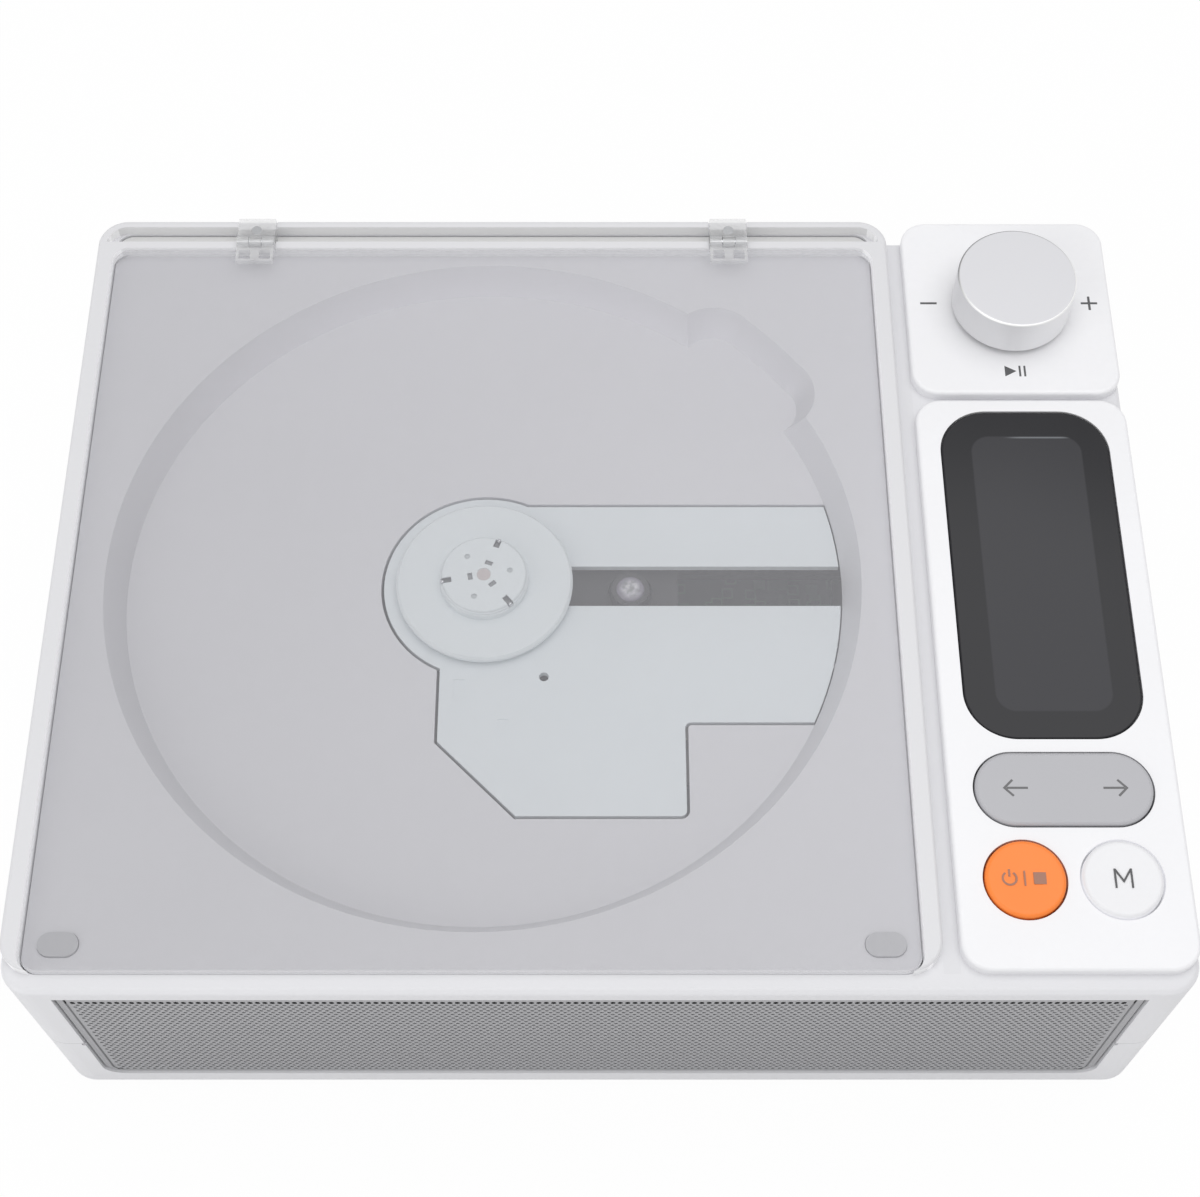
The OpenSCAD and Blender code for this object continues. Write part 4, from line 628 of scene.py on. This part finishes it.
# Coated lens: a painted reflection gives it a cloudy bright middle, greyer and faintly violet towards
# its rim
def coatedLens(name, look):
    paint = Paint(name)
    place = paint.place()
    x, y, _ = paint.along(place)
    rim = fromAxis(x, y, look["midX"], look["midY"]).softStep(*look["rimRange"])
    cloud = paint.noise(place, look["cloud"]).softStep(*look["cloudRange"])
    middle = paint.tint(cloud, look["low"], look["high"])
    return paint.set(
        Base=paint.tint(rim, middle, look["rim"]), Roughness=look["rough"] + rim * look["rimGloss"],
        Coat=look["coat"], CoatRough=look["coatRough"])


lensPaint = coatedLens("coatedLens", pickupGlass)

inkLook = {"fine": 5.0, "dark": 0.85, "rough": 0.5, "gloss": 0.1}


# Printing ink, slightly uneven
def printedInk(name, colour):
    paint = Paint(name)
    fine = paint.noise(paint.place(), inkLook["fine"])
    return paint.set(Base=paint.tint(fine, darker(colour, inkLook["dark"]), colour),
                     Roughness=inkLook["rough"] + fine * inkLook["gloss"])


darkInk = printedInk("darkInk", rgb(0.1, 0.1, 0.105))
greyInk = printedInk("greyInk", rgb(0.16, 0.16, 0.165))
brownInk = printedInk("brownInk", rgb(0.4, 0.2, 0.14))

nodePaints = {
    "housing_base": shellPaint, "housing_top": shellPaint, "deck_frame": framePaint,
    "deck_tray": deckPaint, "mechanism_cover": coverPaint, "lid": lidPaint,
    "hinge_bracket_left": hingePaint, "hinge_bracket_right": hingePaint,
    "hinge_leaf_left": hingePaint, "hinge_leaf_right": hingePaint,
    "hinge_pins": rodPaint, "hinge_screws": screwPaint, "lid_bumpers": padPaint,
    "knob_plate": platePaint, "display_plate": platePaint, "display_window": windowPaint,
    "display_panel": blackPaint, "volume_knob": knobPaint, "encoder_shaft": rodPaint,
    "encoder_plunger": blackPaint, "encoder_body": steelPaint, "track_rocker": rockerPaint,
    "power_button": orangePaint, "mode_button": keyPaint, "button_switches": blackPaint,
    "control_board": boardPaint, "main_board": boardPaint, "board_screws": screwPaint,
    "battery_pack": batteryPaint, "usb_socket": steelPaint, "audio_jack": blackPaint,
    "front_grille": grillePaint, "speaker_baffle": blackPaint,
    "speaker_left_basket": zincPaint, "speaker_right_basket": zincPaint,
    "speaker_left_cone": conePaint, "speaker_right_cone": conePaint,
    "speaker_left_magnet": steelPaint, "speaker_right_magnet": steelPaint,
    "turntable": hubPaint, "hub_balls": rodPaint, "spindle_shaft": rodPaint,
    "spindle_motor": steelPaint, "mechanism_chassis": blackSheetPaint,
    "damper_grommets": rubberPaint, "chassis_screws": screwPaint,
    "guide_rod_back": rodPaint, "guide_rod_front": rodPaint,
    "pickup_sled": sledPaint, "lens_holder": blackPaint, "pickup_lens": lensPaint,
    "drive_gear": gearPaint, "gear_axle": rodPaint, "sled_motor": steelPaint,
    "motor_pinion": gearPaint, "base_screws": screwPaint, "rubber_feet": rubberPaint,
}
for name, node in nodes.items():
    node.data.materials.clear()
    node.data.materials.append(nodePaints[name])


# A new piece from vertices and faces in millimetres, riding on a body
def newPiece(name, points, faces, paint, body):
    mesh = bpy.data.meshes.new(name)
    mesh.from_pydata([[c * mm for c in p] for p in points], [], faces)
    mesh.update()
    piece = bpy.data.objects.new(name, mesh)
    scene.collection.objects.link(piece)
    mesh.materials.append(paint)
    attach(piece, body)
    return piece


print("grille")
# border: loops from the outer fold inwards, each with how far it lies in from the outline and behind
# the front. They make the fold, the flat edge and the crease, and the holes' field comes next.
grilleSheet = {
    "halfW": 82.25, "low": 6.55, "high": 46.95, "cornerR": 3.4, "front": -71.1, "skin": 0.42,
    "pitch": 1.12, "row": 0.95, "holeR": 0.34, "columns": 143, "rows": 39, "topRow": 45.0,
    "firstRow": 1.35, "firstR": 0.43, "firstTall": 0.56,
    "border": [(0.0, 1.75), (0.0, 0.25), (0.25, 0.0), (1.2, 0.0),
               (1.32, 0.22), (1.5, 0.22), (1.62, 0.0)],
    "lowShare": 0.62, "highShare": 0.35, "leastR": 0.4, "cornerTurns": 6,
    "weld": 0.000004, "sliver": 0.000001,
}


# Perforated sheet: staggered holes with their walls, the first row taller
def makeHoles(look):
    points, faces = [], []
    step = look["pitch"]
    front, back = look["front"], look["front"] + look["skin"]
    halfField = look["columns"] * step / 2 + step / 4
    ring = [(math.cos(math.radians(45 * i)), math.sin(math.radians(45 * i))) for i in range(8)]
    edge = [(1, 0), (1, 1), (0, 1), (-1, 1), (-1, 0), (-1, -1), (0, -1), (1, -1)]
    top = look["topRow"]
    for j in range(look["rows"]):
        row, r, tall = look["row"], look["holeR"], look["holeR"]
        if j == 0:
            row, r, tall = look["firstRow"], look["firstR"], look["firstTall"]
        z = top - row / 2
        top -= row
        shift = step / 4 if j % 2 else -step / 4
        for i in range(look["columns"]):
            x = -look["columns"] * step / 2 + (i + 0.5) * step + shift
            at = len(points)
            points += [(x + a * step / 2, front, z + b * row / 2) for a, b in edge]
            points += [(x + a * r, front, z + b * tall) for a, b in ring]
            points += [(x + a * r, back, z + b * tall) for a, b in ring]
            for k in range(8):
                n = (k + 1) % 8
                faces.append((at + k, at + 8 + k, at + 8 + n, at + n))
                faces.append((at + 8 + k, at + 16 + k, at + 16 + n, at + 8 + n))
        x0 = -halfField if j % 2 else halfField - step / 2  # the half cell left over at one end
        at = len(points)
        points += [(x0, front, z - row / 2), (x0, front, z + row / 2),
                   (x0 + step / 2, front, z + row / 2), (x0 + step / 2, front, z - row / 2)]
        faces.append((at, at + 3, at + 2, at + 1))
    return points, faces, (halfField, top, look["topRow"])


# An outline with square upper corners and round lower ones
def borderLoop(halfW, low, high, r, turns):
    loop = [(halfW, high), (-halfW, high)]
    for start, midX in [(180, -halfW + r), (270, halfW - r)]:
        for i in range(turns + 1):
            a = math.radians(start + 90 * i / turns)
            loop.append((midX + r * math.cos(a), low + r + r * math.sin(a)))
    return loop


def makeGrille(look):
    points, faces, (fieldW, fieldLow, fieldHigh) = makeHoles(look)
    front, turns = look["front"], look["cornerTurns"]
    loops = []
    for inset, behind in look["border"]:
        loop = borderLoop(look["halfW"] - inset, look["low"] + inset * look["lowShare"],
                          look["high"] - inset * look["highShare"],
                          max(look["cornerR"] - inset, look["leastR"]), turns)
        loops.append([(x, front + behind, z) for x, z in loop])
    field = [(fieldW, fieldHigh), (-fieldW, fieldHigh)]
    field += [(-fieldW, fieldLow)] * (turns + 1) + [(fieldW, fieldLow)] * (turns + 1)
    loops.append([(x, front, z) for x, z in field])
    for outer, inner in zip(loops[:-1], loops[1:]):
        at = len(points)
        points += outer + inner
        n = len(outer)
        for i in range(n):
            k = (i + 1) % n
            faces.append((at + i, at + k, at + n + k, at + n + i))
    return points, faces


grillePoints, grilleFaces = makeGrille(grilleSheet)
grille = newPiece("grilleSheet", grillePoints, grilleFaces, grillePaint, "player")
work = bmesh.new()
work.from_mesh(grille.data)
bmesh.ops.remove_doubles(work, verts=work.verts, dist=grilleSheet["weld"])
bmesh.ops.dissolve_degenerate(work, edges=work.edges, dist=grilleSheet["sliver"])
work.to_mesh(grille.data)
work.free()
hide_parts("front_grille")
print("  faces", len(grille.data.polygons))


print("printed symbols")
# Middles of the symbols, then the sizes of their strokes
symbols = {
    "plateTop": 52.0, "keyTop": 52.6, "film": 0.015, "sunk": 0.01,
    "minus": (57.9, 53.2), "plus": (86.2, 53.2), "playPause": (71.8, 38.8),
    "arrowLeft": (64.55, -39.4), "arrowRight": (79.75, -39.4),
    "power": (64.6, -54.2), "mode": (79.4, -54.2),
    "signW": 2.9, "signStroke": 0.42,
    "playBack": 1.75, "playTip": 0.25, "playHalf": 1.1, "pauseAt": (0.85, 1.7), "pauseW": 0.34,
    "arrowTip": 1.9, "arrowHead": 1.35, "arrowShaft": 3.3, "arrowShift": 0.1, "arrowStroke": 0.36,
    "ringAt": -2.5, "ringR": 1.05, "ringFrom": 125, "ringTo": 415, "ringStroke": 0.3,
    "pinUp": 0.85, "pinH": 1.2, "dividerAt": -0.2, "dividerW": 0.26, "dividerH": 2.4,
    "stopAt": 2.1, "stopW": 1.9,
    "letterHalf": 1.25, "letterH": 3.1, "letterStroke": 0.3, "letterV": (1.1, 1.55, 1.0, -0.2, -0.75),
}


# A flat film with the outlines given as lists of corners, each filled
def ink(name, outlines, z, paint, body):
    points, faces = [], []
    for outline in outlines:
        n = len(outline)
        pairs = zip(outline, outline[1:] + outline[:1])
        if sum(a[0] * b[1] - b[0] * a[1] for a, b in pairs) < 0:
            outline = outline[::-1]
        at = len(points)
        points += [(x, y, z + symbols["film"]) for x, y in outline]
        points += [(x, y, z - symbols["sunk"]) for x, y in outline]
        faces.append(tuple(range(at, at + n)))
        for i in range(n):
            k = (i + 1) % n
            faces.append((at + i, at + n + i, at + n + k, at + k))
    return newPiece(name, points, faces, paint, body)


def bar(x, y, w, h):
    return [(x - w / 2, y - h / 2), (x + w / 2, y - h / 2),
            (x + w / 2, y + h / 2), (x - w / 2, y + h / 2)]


# A stroke of even width along a line of points
def stroke(line, width):
    left, right = [], []
    for i, p in enumerate(line):
        a = Vector(line[max(i - 1, 0)])
        b = Vector(line[min(i + 1, len(line) - 1)])
        side = Vector((-(b - a).y, (b - a).x)).normalized() * width / 2
        if 0 < i < len(line) - 1:
            before = (Vector(p) - a).normalized()
            after = (b - Vector(p)).normalized()
            side /= max(math.cos(before.angle(after) / 2), 0.3)  # a mitre, but not a spike
        left.append((p[0] + side.x, p[1] + side.y))
        right.append((p[0] - side.x, p[1] - side.y))
    return left + right[::-1]


def arc(x, y, r, start, end, width, count=20):
    turns = [math.radians(start + (end - start) * i / count) for i in range(count + 1)]
    return stroke([(x + r * math.cos(a), y + r * math.sin(a)) for a in turns], width)


def printPlate(look):
    z, w, s = look["plateTop"], look["signW"], look["signStroke"]
    x, y = look["minus"]
    ink("inkMinus", [bar(x, y, w, s)], z, darkInk, "player")
    x, y = look["plus"]
    arms = [bar(x, y + up * (w + s) / 4, s, (w - s) / 2) for up in (1, -1)]
    ink("inkPlus", [bar(x, y, w, s), *arms], z, darkInk, "player")
    x, y = look["playPause"]
    half = look["playHalf"]
    play = [(x - look["playBack"], y - half), (x + look["playTip"], y), (x - look["playBack"], y + half)]
    pause = [bar(x + right, y, look["pauseW"], 2 * half) for right in look["pauseAt"]]
    ink("inkPlayPause", [play, *pause], z, darkInk, "player")


def printKeys(look):
    z = look["keyTop"]
    thin, reach = look["arrowStroke"], look["arrowHead"]
    for side, name in [(-1, "Left"), (1, "Right")]:
        x, y = look["arrow" + name]
        tip = x + side * look["arrowTip"]
        head = stroke([(tip - side * reach, y + reach), (tip, y), (tip - side * reach, y - reach)], thin)
        shaft = bar(x - side * look["arrowShift"], y, look["arrowShaft"], thin)
        ink("inkArrow" + name, [head, shaft], z, greyInk, "rocker")
    x, y = look["power"]
    ringX, thin = x + look["ringAt"], look["ringStroke"]
    ring = arc(ringX, y, look["ringR"], look["ringFrom"], look["ringTo"], thin)
    pin = bar(ringX, y + look["pinUp"], thin, look["pinH"])
    divider = bar(x + look["dividerAt"], y, look["dividerW"], look["dividerH"])
    stop = bar(x + look["stopAt"], y, look["stopW"], look["stopW"])
    ink("inkPower", [ring, pin, divider, stop], z, brownInk, "power")
    x, y = look["mode"]
    half, thin = look["letterHalf"], look["letterStroke"]
    inset, top, under, dip, point = look["letterV"]
    posts = [bar(x + side * half, y, thin, look["letterH"]) for side in (-1, 1)]
    left = [(x - inset, y + top), (x - inset, y + under), (x, y + point), (x, y + dip)]
    right = [(x + inset, y + top), (x, y + dip), (x, y + point), (x + inset, y + under)]
    ink("inkMode", [*posts, left, right], z, darkInk, "mode")


printPlate(symbols)
printKeys(symbols)


print("stage, lights and camera")
studio = {
    "floorSize": 4.0, "floorGap": 0.00005, "floorTone": 0.9, "floorDark": 0.99, "floorGrain": 0.2,
    "floorRough": 0.6, "seenGlow": 0.96, "skyTone": 0.64, "aim": (0, 0, 0.03),
    "keyAt": (0.12, 0.05, 1.0), "keySize": 1.1, "keyPower": 4.1,
    "fillAt": (-0.7, -0.6, 0.6), "fillSize": 0.8, "fillPower": 2.0,
}


# A pale floor, nearly white where the camera sees it
def makeFloor(look):
    half, z = look["floorSize"] / 2, -look["floorGap"]
    corners = [(-half, -half, z), (half, -half, z), (half, half, z), (-half, half, z)]
    mesh = bpy.data.meshes.new("floor")
    mesh.from_pydata(corners, [], [(0, 1, 2, 3)])
    floor = bpy.data.objects.new("floor", mesh)
    scene.collection.objects.link(floor)
    paint = Paint("paleFloor")
    grain = paint.noise(paint.place(), look["floorGrain"])
    pale = rgb(*[look["floorTone"]] * 3)
    paint.set(Base=paint.tint(grain, darker(pale, look["floorDark"]), pale),
              Roughness=look["floorRough"])
    seen = paint.add("ShaderNodeLightPath", out="Is Camera Ray")
    glow = paint.add("ShaderNodeEmission", {}, {"Color": white, "Strength": 1.0})
    shaders = [seen * look["seenGlow"], paint.surface, glow]
    paint.show(paint.add("ShaderNodeMixShader", {}, shaders))
    mesh.materials.append(paint.mat)


# The sky's own nodes: an even light, and plain white where the camera sees it
class Sky(Paint):
    def __init__(self, name, tone):
        self.world = bpy.data.worlds.new(name)
        self.start(self.world, "ShaderNodeOutputWorld")
        seen = self.add("ShaderNodeLightPath", out="Is Camera Ray")
        light = self.add("ShaderNodeBackground", {}, {"Color": white, "Strength": tone})
        backdrop = self.add("ShaderNodeBackground", {}, {"Color": white, "Strength": 1.0})
        self.show(self.add("ShaderNodeMixShader", {}, [seen, light, backdrop]))


def softLamp(name, at, aim, size, power):
    lamp = bpy.data.lights.new(name, "AREA")
    lamp.shape = "DISK"
    lamp.size = size
    lamp.energy = power
    holder = bpy.data.objects.new(name, lamp)
    scene.collection.objects.link(holder)
    holder.location = at
    holder.rotation_euler = (Vector(aim) - Vector(at)).to_track_quat("-Z", "Y").to_euler()


makeFloor(studio)
scene.world = Sky("studioSky", studio["skyTone"]).world
softLamp("keyLamp", studio["keyAt"], studio["aim"], studio["keySize"], studio["keyPower"])
softLamp("fillLamp", studio["fillAt"], studio["aim"], studio["fillSize"], studio["fillPower"])

view = {"focal": 62.04, "sensor": 36.0, "clip": 0.01, "elevation": 61.87, "at": (0.0, -0.1646, 0.349)}
camera = bpy.data.cameras.new("photoCamera")
camera.sensor_width = view["sensor"]
camera.sensor_fit = "HORIZONTAL"
camera.lens = view["focal"]
camera.clip_start = view["clip"]
cameraObject = bpy.data.objects.new("photoCamera", camera)
scene.collection.objects.link(cameraObject)
cameraObject.location = view["at"]
cameraObject.rotation_euler = (math.radians(90 - view["elevation"]), 0, 0)
scene.camera = cameraObject
scene.view_settings.view_transform = "Standard"

print("pieces ready")
